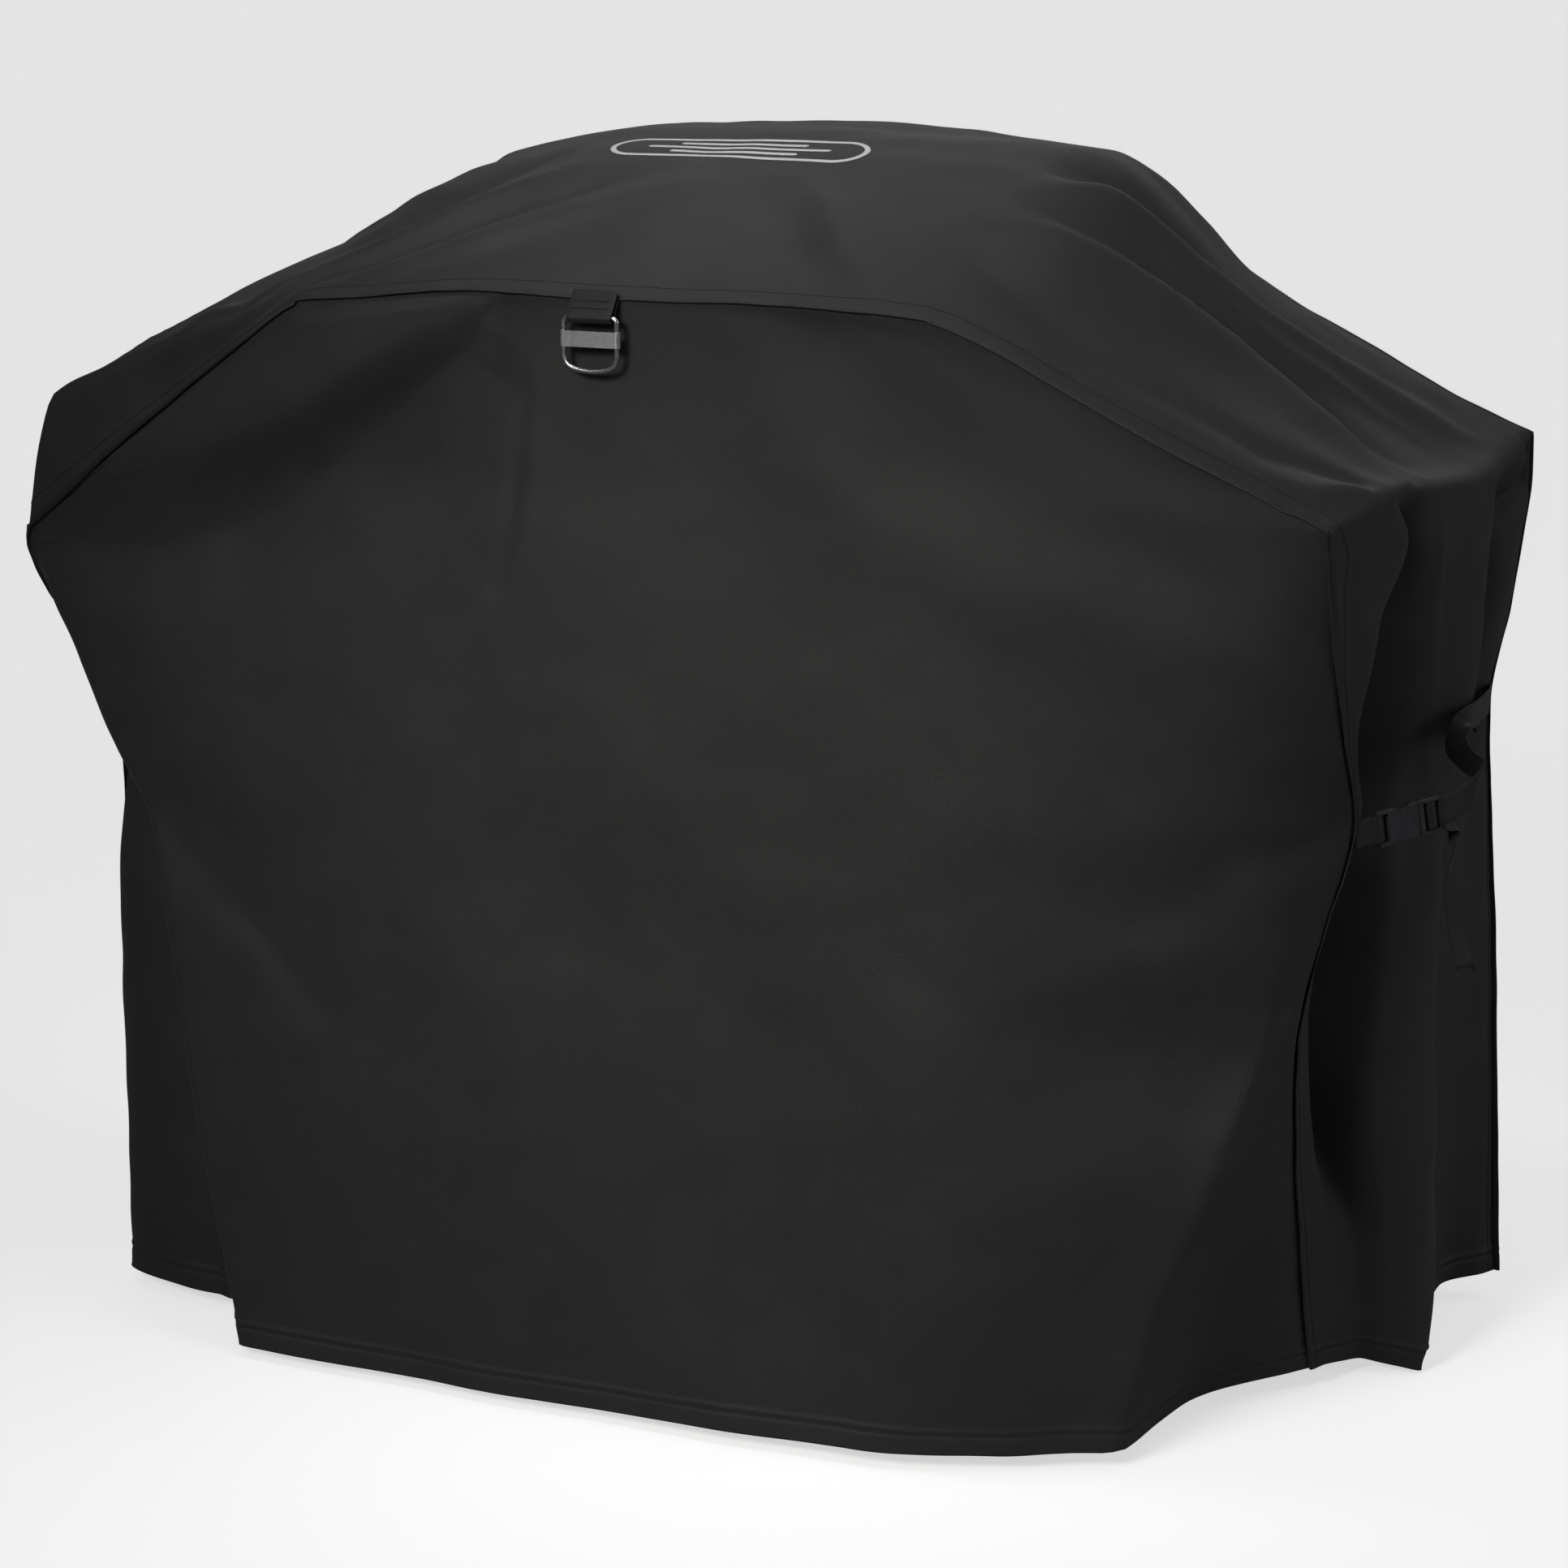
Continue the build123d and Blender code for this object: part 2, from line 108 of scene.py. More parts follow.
RIGHT_TOP = [
    (96, [(.598, -.334, .909), (.6, -.225, .928), (.6, -.135, .922), (.602, -.035, .914),
          (.604, .125, .902), (.604, .22, .902), (.602, .29, .91), (.6, .334, .914)], ()),
    (106, [(.5, -.334, .952), (.5, -.245, .982), (.5, -.155, .988), (.5, -.04, .986),
           (.5, .1, .982), (.5, .19, .976), (.5, .27, .97), (.5, .334, .964)], ()),
    (114, [(.41, -.334, .996), (.412, -.25, 1.03), (.414, -.16, 1.052), (.415, -.05, 1.066),
           (.412, .07, 1.064), (.41, .165, 1.044), (.412, .26, 1.018), (.425, .334, 1)], ()),
    (121, [(.33, -.334, 1.034), (.335, -.255, 1.074), (.337, -.165, 1.11), (.337, -.06, 1.142),
           (.33, .05, 1.154), (.312, .15, 1.148), (.329, .255, 1.086), (.378, .334, 1.021)], ()),
    (126, [(.279, -.334, 1.051), (.282, -.255, 1.09), (.284, -.165, 1.128), (.284, -.06, 1.16),
           (.284, .05, 1.174), (.28, .15, 1.166), (.292, .255, 1.108), (.31, .334, 1.028)], ()),
    (140, [(.14, -.334, 1.058), (.14, -.255, 1.096), (.14, -.165, 1.136), (.14, -.06, 1.168),
           (.14, .05, 1.182), (.14, .15, 1.179), (.142, .255, 1.12), (.145, .334, 1.033)], ()),
]
MIDDLE = (154, [(0, -.334, 1.061), (0, -.255, 1.099), (0, -.165, 1.139), (0, -.06, 1.172),
                (0, .05, 1.189), (0, .15, 1.186), (0, .255, 1.124), (0, .334, 1.034)], ())
LEFT_TOP = [
    (140, [(-.15, -.334, 1.058), (-.15, -.255, 1.096), (-.15, -.165, 1.136), (-.15, -.06, 1.169),
           (-.15, .05, 1.184), (-.15, .15, 1.181), (-.15, .255, 1.12), (-.148, .334, 1.033)], ()),
    (126, [(-.334, -.334, 1.044), (-.322, -.262, 1.074), (-.312, -.172, 1.11), (-.305, -.065, 1.144),
           (-.305, .05, 1.158), (-.3, .15, 1.156), (-.306, .255, 1.1), (-.32, .334, 1.026)], (1,)),
    (120, [(-.395, -.335, 1.002), (-.382, -.334, 1.036), (-.378, -.2, 1.076), (-.372, -.075, 1.098),
           (-.37, .05, 1.104), (-.366, .15, 1.102), (-.372, .255, 1.062), (-.385, .334, 1.015)], (1,)),
    (110, [(-.495, -.334, .928), (-.468, -.338, 1.004), (-.464, -.215, 1.04), (-.462, -.09, 1.05),
           (-.46, .05, 1.036), (-.458, .15, 1.03), (-.462, .25, 1.01), (-.475, .334, .982)], (1,)),
    (98, [(-.6, -.33, .85), (-.566, -.334, .964), (-.571, -.215, .976), (-.58, -.09, .974),
          (-.575, .05, .964), (-.575, .15, .955), (-.578, .25, .936), (-.585, .334, .922)], (1,)),
]
LEFT_SIDE = [
    (90, [(-.652, -.324, .811), (-.616, -.326, .94), (-.634, -.2, .94), (-.654, -.07, .912),
          (-.653, .07, .906), (-.652, .17, .902), (-.651, .27, .898), (-.65, .334, .896)], (1,)),
    (85, [(-.659, -.316, .79), (-.632, -.29, .868), (-.65, -.17, .85), (-.648, -.07, .848),
          (-.656, .08, .845), (-.64, .18, .838), (-.65, .28, .84), (-.651, .334, .852)], (1,)),
    (78, [(-.656, -.292, .75), (-.64, -.24, .8), (-.62, -.15, .785), (-.64, -.03, .78),
          (-.658, .1, .775), (-.622, .2, .77), (-.646, .28, .778), (-.648, .328, .795)], ()),
    (69, [(-.645, -.24, .685), (-.65, -.215, .7), (-.6, -.13, .702), (-.634, -.01, .7),
          (-.658, .09, .697), (-.616, .185, .696), (-.638, .262, .703), (-.64, .316, .72)], ()),
    (59, [(-.63, -.19, .603), (-.634, -.172, .607), (-.606, -.1, .612), (-.628, .01, .615),
          (-.654, .07, .62), (-.616, .15, .625), (-.626, .215, .632), (-.623, .275, .64)], ()),
    (51, [(-.6, -.205, .525), (-.628, -.19, .53), (-.655, -.16, .535), (-.636, -.05, .535),
          (-.648, .05, .54), (-.612, .14, .54), (-.62, .23, .545), (-.622, .302, .55)], ()),
    (40, [(-.562, -.228, .42), (-.604, -.222, .424), (-.657, -.18, .43), (-.64, -.06, .43),
          (-.65, .05, .43), (-.61, .15, .43), (-.62, .245, .43), (-.626, .322, .43)], ()),
    (27, [(-.538, -.226, .3), (-.59, -.226, .3), (-.656, -.185, .3), (-.642, -.08, .3),
          (-.652, .04, .3), (-.61, .15, .3), (-.62, .25, .3), (-.632, .33, .305)], ()),
    (13, [(-.518, -.23, .15), (-.57, -.232, .15), (-.656, -.19, .15), (-.644, -.085, .15),
          (-.654, .04, .15), (-.612, .15, .15), (-.622, .25, .15), (-.64, .334, .155)], ()),
    (0, [(-.5, -.24, .02), (-.554, -.234, .018), (-.657, -.192, .016), (-.646, -.085, .014),
         (-.654, .04, .012), (-.614, .15, .014), (-.624, .25, .022), (-.645, .334, .03)], ()),
]

# Key rows of the front panel between the two seams: (station, points from left to right, sharp turns).
# The first is the cart's left corner and the fifth its right one, where the panel turns back.
PANEL_AT = (0, 0.085, 0.28, 0.46, 0.64, 0.8, 0.9, 1)
FRONT_ROWS = [
    (0, [(-.437, -.335, .012), (-.24, -.337, .012), (-.03, -.336, .013), (.215, -.333, .016),
         (.442, -.246, .02), (.462, -.122, .022)], (1, 5)),
    (13, [(-.462, -.336, .14), (-.25, -.338, .14), (-.025, -.338, .14), (.235, -.336, .145),
          (.474, -.256, .15), (.502, -.16, .152)], (1, 5)),
    (27, [(-.486, -.336, .275), (-.26, -.34, .28), (-.02, -.341, .282), (.25, -.339, .285),
          (.53, -.264, .3), (.554, -.205, .3)], (1, 5)),
    (40, [(-.502, -.334, .415), (-.27, -.342, .415), (-.015, -.344, .415), (.262, -.341, .415),
          (.566, -.246, .42), (.577, -.22, .42)], (1, 5)),
    (51, [(-.522, -.332, .525), (-.275, -.343, .52), (-.015, -.346, .518), (.27, -.343, .52),
          (.58, -.262, .522), (.598, -.23, .524)], (1,)),
    (59, [(-.552, -.328, .598), (-.28, -.343, .6), (-.015, -.347, .6), (.275, -.344, .6),
          (.58, -.28, .601), (.61, -.238, .602)], ()),
    (69, [(-.595, -.324, .685), (-.285, -.342, .7), (-.02, -.346, .702), (.268, -.343, .703),
          (.55, -.32, .702), (.608, -.296, .702)], ()),
    (78, [(-.624, -.326, .75), (-.29, -.34, .79), (-.03, -.344, .794), (.235, -.341, .795),
          (.49, -.335, .793), (.588, -.328, .792)], ()),
    (85, [(-.63, -.329, .79), (-.292, -.338, .852), (-.03, -.34, .858), (.225, -.339, .86),
          (.46, -.337, .857), (.578, -.334, .856)], ()),
    (90, [(-.616, -.331, .812), (-.285, -.336, .89), (-.03, -.337, .9), (.215, -.337, .902),
          (.44, -.337, .897), (.558, -.336, .895)], ()),
    (106, [(-.472, -.335, .916), (-.225, -.336, .958), (-.03, -.336, .966), (.16, -.336, .966),
           (.345, -.335, .958), (.445, -.334, .955)], ()),
    (120, [(-.345, -.335, 1), (-.18, -.336, 1.03), (-.02, -.336, 1.037), (.11, -.336, 1.037),
           (.23, -.335, 1.036), (.295, -.334, 1.03)], ()),
]


# ---- smooth grids from key rows --------------------------------------------------------------
def resample(values, places, at):
    """Rows of values, known at some places along a line, read off at others."""
    return np.stack([np.interp(at, places, values[:, k]) for k in range(values.shape[1])], 1)


def run_along(points):
    """Length from the start of a line to each of its points."""
    return np.r_[0, np.cumsum(np.linalg.norm(np.diff(points, axis=0), axis=1))]


def unit(vectors):
    return vectors / np.linalg.norm(vectors, axis=-1, keepdims=True)


def spline(knots, values, at, creases=()):
    """Smooth curve through values at the given knots that never overshoots them.

    It turns sharply at the knots whose numbers are in creases.
    """
    knots, values, at = (np.asarray(a, float) for a in (knots, values, at))
    step = np.diff(knots)
    secant = np.diff(values, axis=0) / step[:, None]
    leaving = np.zeros_like(values)
    before, after = secant[:-1], secant[1:]
    same_way = before * after > 0
    both = np.where(same_way, before + after, 1)
    leaving[1:-1] = np.where(same_way, 2 * before * after / both, 0)
    leaving[0], leaving[-1] = secant[0], secant[-1]
    arriving = leaving.copy()
    for knot in creases:
        arriving[knot], leaving[knot] = secant[knot - 1], secant[knot]
    cell = np.clip(np.searchsorted(knots, at, side="right") - 1, 0, len(step) - 1)
    h = step[cell][:, None]
    t = ((at - knots[cell]) / step[cell])[:, None]
    a, b = values[cell], values[cell + 1]
    ma, mb = leaving[cell] * h, arriving[cell + 1] * h
    return (a * (2 * t ** 3 - 3 * t ** 2 + 1) + ma * (t ** 3 - 2 * t ** 2 + t)
            + b * (3 * t ** 2 - 2 * t ** 3) + mb * (t ** 3 - t ** 2))


def tensor(rows, row_at, column_knots, column_at, row_creases=(), crease_share=None):
    """Grid of points through key rows (station, points, creases across).

    row_creases are the stations where the grid turns sharply along its length, by crease_share,
    which has a value from 0 to 1 for each column.
    """
    stations = [row[0] for row in rows]
    across = np.stack([spline(column_knots, row[1], column_at, row[2]) for row in rows])
    flat = across.reshape(len(rows), -1)
    shape = (len(row_at), len(column_at), 3)
    grid = spline(stations, flat, row_at).reshape(shape)
    if crease_share is not None:
        numbers = [stations.index(station) for station in row_creases]
        creased = spline(stations, flat, row_at, numbers).reshape(shape)
        grid += (creased - grid) * crease_share[None, :, None]
    return grid


def strip_grid():
    """Strip from the right hem (row 0) over the hood to the left hem (last row)."""
    keys = RIGHT_SIDE + RIGHT_TOP + [MIDDLE]
    keys = keys + [(LAST - row[0], *row[1:]) for row in LEFT_TOP + LEFT_SIDE]
    column_at = np.linspace(0, 1, STRIP_COLUMNS + 1)
    share = 0.55 + 0.45 * np.exp(-np.minimum(column_at, 1 - column_at) / 0.05)
    turns = (SIDE_ROWS, KINK, LAST - KINK, LAST - SIDE_ROWS)
    return tensor(keys, ROW_AT, COLUMN_AT, column_at, turns, share)


def front_grid(strip):
    """Front panel; its sides and its top row are the strip's front edge."""
    side = ROW_AT <= KINK
    count = side.sum()
    seam_right, seam_left = strip[:count, 0], strip[::-1][:count, 0]
    column_at = np.linspace(0, 1, PANEL_COLUMNS + 1)
    top = strip[(ROW_AT >= KINK) & (ROW_AT <= LAST - KINK), 0][::-1]
    along = np.linspace(0, 1, len(top))
    edge = resample(top, along, column_at)
    rows = []
    for station, points, creases in FRONT_ROWS:
        here = np.searchsorted(ROW_AT, station)
        rows.append((station, [seam_left[here], *points, seam_right[here]], creases))
    rows.append((KINK, [edge[round(a * PANEL_COLUMNS)] for a in PANEL_AT], ()))
    grid = tensor(rows, ROW_AT[side], PANEL_AT, column_at)
    fit_border(grid, seam_left, seam_right, edge)
    return grid


def fit_border(grid, left, right, top, reach=6):
    """Moves a panel's sides and top onto the strip's edge, and the cells beside them in part."""
    columns = grid.shape[1]
    for k in range(reach):
        share = 1 - k / reach
        grid[:, k] += (left - grid[:, 0]) * share if k else 0
        grid[:, columns - 1 - k] += (right - grid[:, -1]) * share if k else 0
    grid[:, 0], grid[:, -1] = left, right
    gap = top - grid[-1]
    for k in range(reach):
        grid[-1 - k] += gap * (1 - k / reach)
    grid[:, 0], grid[:, -1] = left, right


def rear_grid(strip):
    """Rear panel, seen from behind; its sides and its top row are the strip's rear edge."""
    count = (ROW_AT <= KINK).sum()
    right, left = strip[:count, -1], strip[::-1][:count, -1]
    column_at = np.linspace(0, 1, PANEL_COLUMNS + 1)
    top = strip[(ROW_AT >= KINK) & (ROW_AT <= LAST - KINK), -1]
    along = np.linspace(0, 1, len(top))
    edge = resample(top, along, column_at)
    grid = right[:, None] + (left - right)[:, None] * column_at[None, :, None]
    swell = np.sin(math.pi * column_at) ** 0.5
    grid[..., 1] += (REAR_Y + 0.004 - grid[..., 1]) * swell
    rise = np.clip((ROW_AT[:count] - SIDE_ROWS) / SLOPE_ROWS, 0, 1)[:, None, None] ** 3
    grid += (edge - grid[-1])[None] * rise
    fit_border(grid, right, left, edge)
    return grid


def grid_normals(grid):
    """Outward unit normals of a grid."""
    along, across = np.gradient(grid, axis=0), np.gradient(grid, axis=1)
    normal = np.cross(across, along)
    return normal / np.maximum(np.linalg.norm(normal, axis=2, keepdims=True), 1e-12)


def soften(grid, passes):
    """Rounds a grid's inside a little and leaves its border alone."""
    for _ in range(passes):
        mean = (grid[:-2, 1:-1] + grid[2:, 1:-1] + grid[1:-1, :-2] + grid[1:-1, 2:]) / 4
        grid[1:-1, 1:-1] += (mean - grid[1:-1, 1:-1]) * 0.5


# ---- folds ----------------------------------------------------------------------------------------
def fold_heights(at, line):
    """Height of one fold at each place.

    line is its crest as (a, b, height, width to its left, width to its right) points; a width that
    is the same on both sides is written once.
    """
    best = np.full(at.shape[:-1], 1e9)
    height = np.zeros(at.shape[:-1])
    for start, end in zip(line, line[1:]):
        a, b = np.array(start[:2]), np.array(end[:2])
        run = b - a
        offset = at - a
        t = np.clip((offset @ run) / (run @ run), 0, 1)
        away = offset - t[..., None] * run
        distance = np.linalg.norm(away, axis=-1)
        on_left = run[0] * offset[..., 1] - run[1] * offset[..., 0] > 0
        crest, left, right = (start[k] + (end[k] - start[k]) * t for k in (2, 3, -1))
        width = np.where(on_left, left, right)
        here = crest * np.exp(-(distance / width) ** 1.7)
        nearer = distance < best
        best = np.where(nearer, distance, best)
        height = np.where(nearer, here, height)
    return height


def add_folds(grid, axes, lines, where=1.0):
    """Lifts a grid along its normals by folds drawn on the plane of two axes."""
    at = grid[..., axes]
    lift = sum(fold_heights(at, line) for line in lines)
    grid += grid_normals(grid) * (lift * where)[..., None]


def wander(grid, size, depth, seed):
    """Small uneven waves, so that no stretch of cloth is perfectly smooth."""
    shift = Vector((seed * 3.7, seed * 1.3, seed * 2.9))
    rows, columns = grid.shape[:2]
    waves = [noise.noise(Vector(point) / size + shift) for point in grid.reshape(-1, 3)]
    grid += grid_normals(grid) * (np.reshape(waves, (rows, columns)) * depth)[..., None]


# Folds of the front panel on x and z. Plus is outwards.
FRONT_FOLDS = [
    [(-.165, 1.05, .006, .02, .03), (-.266, .988, .013, .03, .045), (-.341, .943, .015, .035, .05),
     (-.41, .912, .012, .035, .05), (-.5, .88, .004, .03, .05)],
    [(-.145, 1.03, -.005, .055, .012), (-.163, 1, -.012, .06, .018), (-.23, .945, -.018, .07, .035),
     (-.333, .868, -.02, .07, .05), (-.42, .822, -.019, .065, .055), (-.487, .803, -.014, .06, .045),
     (-.6, .797, -.006, .04, .03)],
    [(-.14, 1.045, .003, .01, .012), (-.152, 1, .005, .014, .02), (-.2, .93, .005, .025, .04)],
    [(-.1, .98, -.001, .006), (-.107, .929, -.003, .01, .006), (-.112, .889, -.004, .012, .006),
     (-.118, .84, -.004, .012, .006), (-.133, .793, -.003, .01, .005), (-.136, .775, 0, .008, .005)],
    [(-.088, .98, .001, .012, .014), (-.098, .9, .003, .01, .02), (-.108, .82, .002, .01, .02),
     (-.12, .76, 0, .01, .015)],
    [(.12, 1.02, .002, .02), (.145, .967, .004, .04, .045), (.226, .881, .005, .045, .07),
     (.324, .846, .004, .045, .07), (.443, .804, .003, .04, .06), (.56, .78, 0, .03)],
    [(.2, 1.03, -.003, .03), (.28, .94, -.004, .05, .045), (.4, .885, -.004, .05, .045),
     (.54, .84, -.002, .04)],
    [(.25, .64, 0, .06), (.42, .56, -.001, .05, .045), (.478, .538, -.0025, .038, .036),
     (.51, .561, -.003, .034), (.57, .6, -.003, .026), (.615, .614, -.001, .01)],
    [(.38, .48, .001, .04), (.465, .498, .002, .036), (.544, .536, .0025, .034), (.598, .567, .002, .02)],
    [(.4, .61, .001, .03), (.5, .62, .002, .03, .025), (.59, .632, .002, .02)],
    [(.3, .7, 0, .07), (.45, .69, -.0025, .08, .07), (.59, .7, -.0025, .06, .05)],
    [(.58, .44, .003, .016, .006), (.563, .371, .004, .02, .007), (.545, .32, .004, .02, .007),
     (.528, .29, .004, .02, .008), (.5, .215, .003, .02, .008), (.47, .12, .002, .02, .008),
     (.445, .03, .001, .018, .008)],
    [(.55, .43, -.002, .034, .028), (.52, .36, -.004, .044, .034), (.488, .29, -.004, .048, .036),
     (.455, .22, -.004, .048, .036), (.425, .14, -.003, .046, .034), (.405, .05, -.002, .04, .03)],
    [(-.56, .6, -.002, .03, .02), (-.52, .545, -.006, .055, .032), (-.449, .488, -.006, .06, .036),
     (-.4, .44, -.006, .055, .022), (-.342, .38, -.003, .04, .018), (-.3, .345, 0, .03, .02)],
    [(-.3, .56, 0, .1), (-.15, .4, .006, .09, .1), (-.12, .2, .006, .1), (-.14, .02, .004, .08)],
    [(.06, .62, 0, .08), (.1, .42, -.006, .08), (.16, .2, -.006, .09, .08), (.21, .02, -.004, .07)],
    [(.24, .52, 0, .06, .07), (.29, .34, .006, .06, .08), (.33, .16, .005, .07), (.35, .02, .003, .06)],
]

# Folds of the strip's top on x and y. Plus is upwards.
TOP_FOLDS = [
    [(-.47, -.334, 0, .01, .012), (-.43, -.318, .007, .01, .014), (-.395, -.33, 0, .01, .012)],
    [(-.4, -.332, 0, .008, .01), (-.368, -.305, .006, .009, .012), (-.345, -.27, 0, .01, .012)],
    [(-.56, -.33, 0, .012, .014), (-.52, -.3, .005, .014, .018), (-.47, -.25, 0, .014, .018)],
    [(.27, -.2, .002, .03), (.349, -.171, .012, .022, .045), (.415, -.13, .016, .024, .055),
     (.477, -.09, .016, .024, .06), (.56, -.09, .012, .024, .05), (.64, -.11, .004, .016, .03)],
    [(.345, -.145, -.006, .022, .016), (.415, -.085, -.015, .034, .02), (.48, -.04, -.016, .04, .024),
     (.54, -.025, -.012, .04, .026), (.6, -.02, -.005, .03, .02)],
    [(.3, -.11, .003, .02, .024), (.345, -.065, .01, .02, .028), (.4, -.005, .013, .024, .034),
     (.48, .085, .013, .03, .036), (.56, .165, .01, .034, .036), (.625, .24, .004, .03)],
    [(.31, -.055, -.006, .024, .014), (.34, -.02, -.016, .03, .016), (.385, .04, -.014, .036, .022),
     (.45, .12, -.008, .04, .026), (.53, .2, -.003, .03, .02)],
    [(.4, -.06, 0, .02), (.45, -.005, .005, .014, .016), (.52, .06, .005, .016, .018),
     (.59, .11, .001, .014)],
    [(.08, -.13, .002, .02), (.125, -.18, .006, .014, .022), (.173, -.251, .006, .012, .02),
     (.23, -.312, .003, .01, .014)],
    [(.06, -.18, -.002, .03), (.11, -.23, -.006, .022, .03), (.17, -.3, -.003, .018, .02)],
    [(.25, -.18, 0, .03), (.3, -.25, -.006, .03, .026), (.37, -.27, -.007, .03, .02),
     (.46, -.27, -.007, .026, .018), (.56, -.262, -.008, .022, .018), (.625, -.21, -.007, .018)],
    [(.5, -.32, .002, .012), (.56, -.312, .006, .016, .012), (.61, -.29, .008, .016, .012),
     (.643, -.215, .008, .016, .012), (.65, -.13, .004, .014, .01)],
    [(-.337, -.322, .002, .01, .016), (-.263, -.302, .008, .04, .012), (-.18, -.255, .01, .05, .016),
     (-.096, -.201, .006, .05, .02), (-.02, -.16, .001, .04, .02)],
    [(-.345, -.305, -.002, .01, .014), (-.285, -.268, -.011, .018, .02), (-.212, -.215, -.012, .02, .022),
     (-.12, -.16, -.006, .024, .022), (-.05, -.12, 0, .02)],
    [(-.345, -.275, .002, .014), (-.29, -.235, .007, .016, .014), (-.225, -.175, .006, .018, .016),
     (-.15, -.11, .001, .016)],
    [(-.35, -.24, -.002, .014), (-.3, -.195, -.008, .018, .016), (-.24, -.13, -.006, .02, .018),
     (-.18, -.06, -.001, .018)],
    [(-.32, -.12, .004, .02), (-.42, -.06, .012, .034, .03), (-.54, 0, .01, .04, .034),
     (-.64, .04, .003, .03)],
    [(-.31, -.02, -.004, .02), (-.42, .05, -.01, .03), (-.54, .11, -.007, .036, .03),
     (-.63, .15, -.002, .03)],
    [(-.315, .07, .004, .02), (-.42, .14, .012, .032, .028), (-.54, .22, .01, .036, .03),
     (-.64, .28, .003, .03)],
    [(.64, -.04, .002, .012), (.648, .08, .005, .014, .012), (.648, .23, .005, .014, .012),
     (.646, .29, .002, .012, .01)],
    [(.2, .3, 0, .03), (.33, .2, .003, .03), (.44, .24, .004, .03), (.6, .3, 0, .03)],
    [(-.06, -.08, 0, .06, .05), (-.02, -.16, .004, .05), (-.03, -.26, .004, .05), (-.04, -.325, .001, .03)],
    [(-.2, .05, 0, .05), (-.06, .08, -.005, .05, .04), (.1, .07, -.005, .05, .04), (.24, .06, 0, .05)],
    [(-.22, .18, 0, .05), (-.06, .19, .004, .05, .04), (.1, .19, .004, .05, .04), (.24, .18, 0, .05)],
]

# Folds of the strip's sides on y and z. Plus is outwards; the left side has its own.
RIGHT_FOLDS = [
    [(-.3, .875, -.001, .006), (-.285, .845, -.006, .01, .008), (-.272, .8, -.007, .012, .008),
     (-.262, .76, -.002, .008, .006)],
    [(.285, .905, -.004, .006, .008), (.318, .878, -.016, .01), (.312, .85, -.018, .012),
     (.27, .832, -.016, .012, .014), (.232, .815, -.006, .012, .014)],
    [(-.02, .87, .003, .012), (-.005, .78, .005, .012, .014), (.01, .68, .004, .012, .016),
     (.02, .6, .001, .01, .014)],
    [(.16, .87, .002, .012, .01), (.15, .78, .005, .016, .01), (.15, .7, .005, .016, .01),
     (.165, .62, .002, .014, .01)],
    [(.06, .48, .003, .014, .01), (.075, .38, .006, .016, .01), (.09, .24, .006, .016, .01),
     (.1, .03, .005, .014, .009)],
    [(.14, .56, -.003, .018), (.15, .44, -.006, .022, .02), (.17, .26, -.005, .024, .02),
     (.18, .04, -.003, .02)],
    [(.255, .8, -.002, .01), (.24, .7, -.004, .014, .012), (.23, .6, -.003, .014, .012),
     (.24, .48, -.001, .01)],
]
LEFT_FOLDS = [
    [(-.2, .86, .002, .02), (-.17, .74, .008, .022), (-.15, .6, .006, .02), (-.15, .4, .004, .02),
     (-.15, .05, .003, .02)],
    [(-.08, .87, -.002, .02), (-.06, .76, -.012, .03), (-.04, .62, -.012, .03), (-.04, .4, -.008, .03),
     (-.03, .05, -.005, .03)],
    [(.16, .86, -.002, .02), (.17, .74, -.014, .03), (.18, .6, -.012, .03), (.19, .4, -.01, .03),
     (.19, .05, -.006, .03)],
]
REAR_FOLDS = [
    [(-.42, .98, .004, .03), (-.47, .82, .012, .04), (-.44, .56, .01, .05), (-.42, .3, .008, .05),
     (-.43, .02, .006, .05)],
    [(-.25, 1.01, -.003, .03), (-.23, .8, -.01, .05), (-.22, .5, -.01, .06), (-.2, .02, -.007, .05)],
    [(0, .9, 0, .05), (.02, .6, .008, .06), (.03, .3, .01, .06), (.03, .02, .008, .06)],
    [(.24, 1.01, -.004, .03), (.25, .76, -.012, .05), (.23, .42, -.01, .05), (.24, .02, -.008, .05)],
    [(.42, .98, .004, .03), (.5, .84, .012, .04), (.48, .56, .01, .05), (.45, .3, .009, .05),
     (.45, .02, .007, .05)],
    [(-.64, .64, -.004, .02, .03), (-.52, .7, -.008, .03, .04), (-.38, .78, -.003, .04)],
    [(.64, .64, -.004, .03, .02), (.52, .7, -.008, .04, .03), (.38, .78, -.003, .04)],
]


# ---- cloth pieces -----------------------------------------------------------------------------------
def near_edge(count, reach):
    """1 at a row of cells' ends, falling to 0 over reach cells."""
    place = np.arange(count)
    away = np.minimum(place, count - 1 - place)
    return np.clip(1 - away / reach, 0, 1)


def add_hem(grid, stations):
    """Doubled band along the hem, with a dent and small puckers at its stitching."""
    height = stations * ROW_HEIGHT
    band = np.clip((HEM_TALL + 0.001 - height) / 0.002, 0, 1)
    dent = np.exp(-((height - HEM_STITCH) / 0.0022) ** 2)
    run = run_along(grid[0])
    pucker = np.array([noise.noise(Vector((value / 0.018, 4.1, 0))) for value in run])
    slack = np.array([noise.noise(Vector((value / 0.075, 9.4, 0))) for value in run])
    lift = HEM_PROUD * (band - dent)[:, None]
    fade = np.exp(-(height / 0.045) ** 2)[:, None]
    lift = lift + 0.0009 * pucker[None] * np.exp(-((height - HEM_STITCH) / 0.014) ** 2)[:, None]
    lift = lift + 0.0022 * slack[None] * fade
    normal = grid_normals(grid)
    grid += normal * lift[..., None]


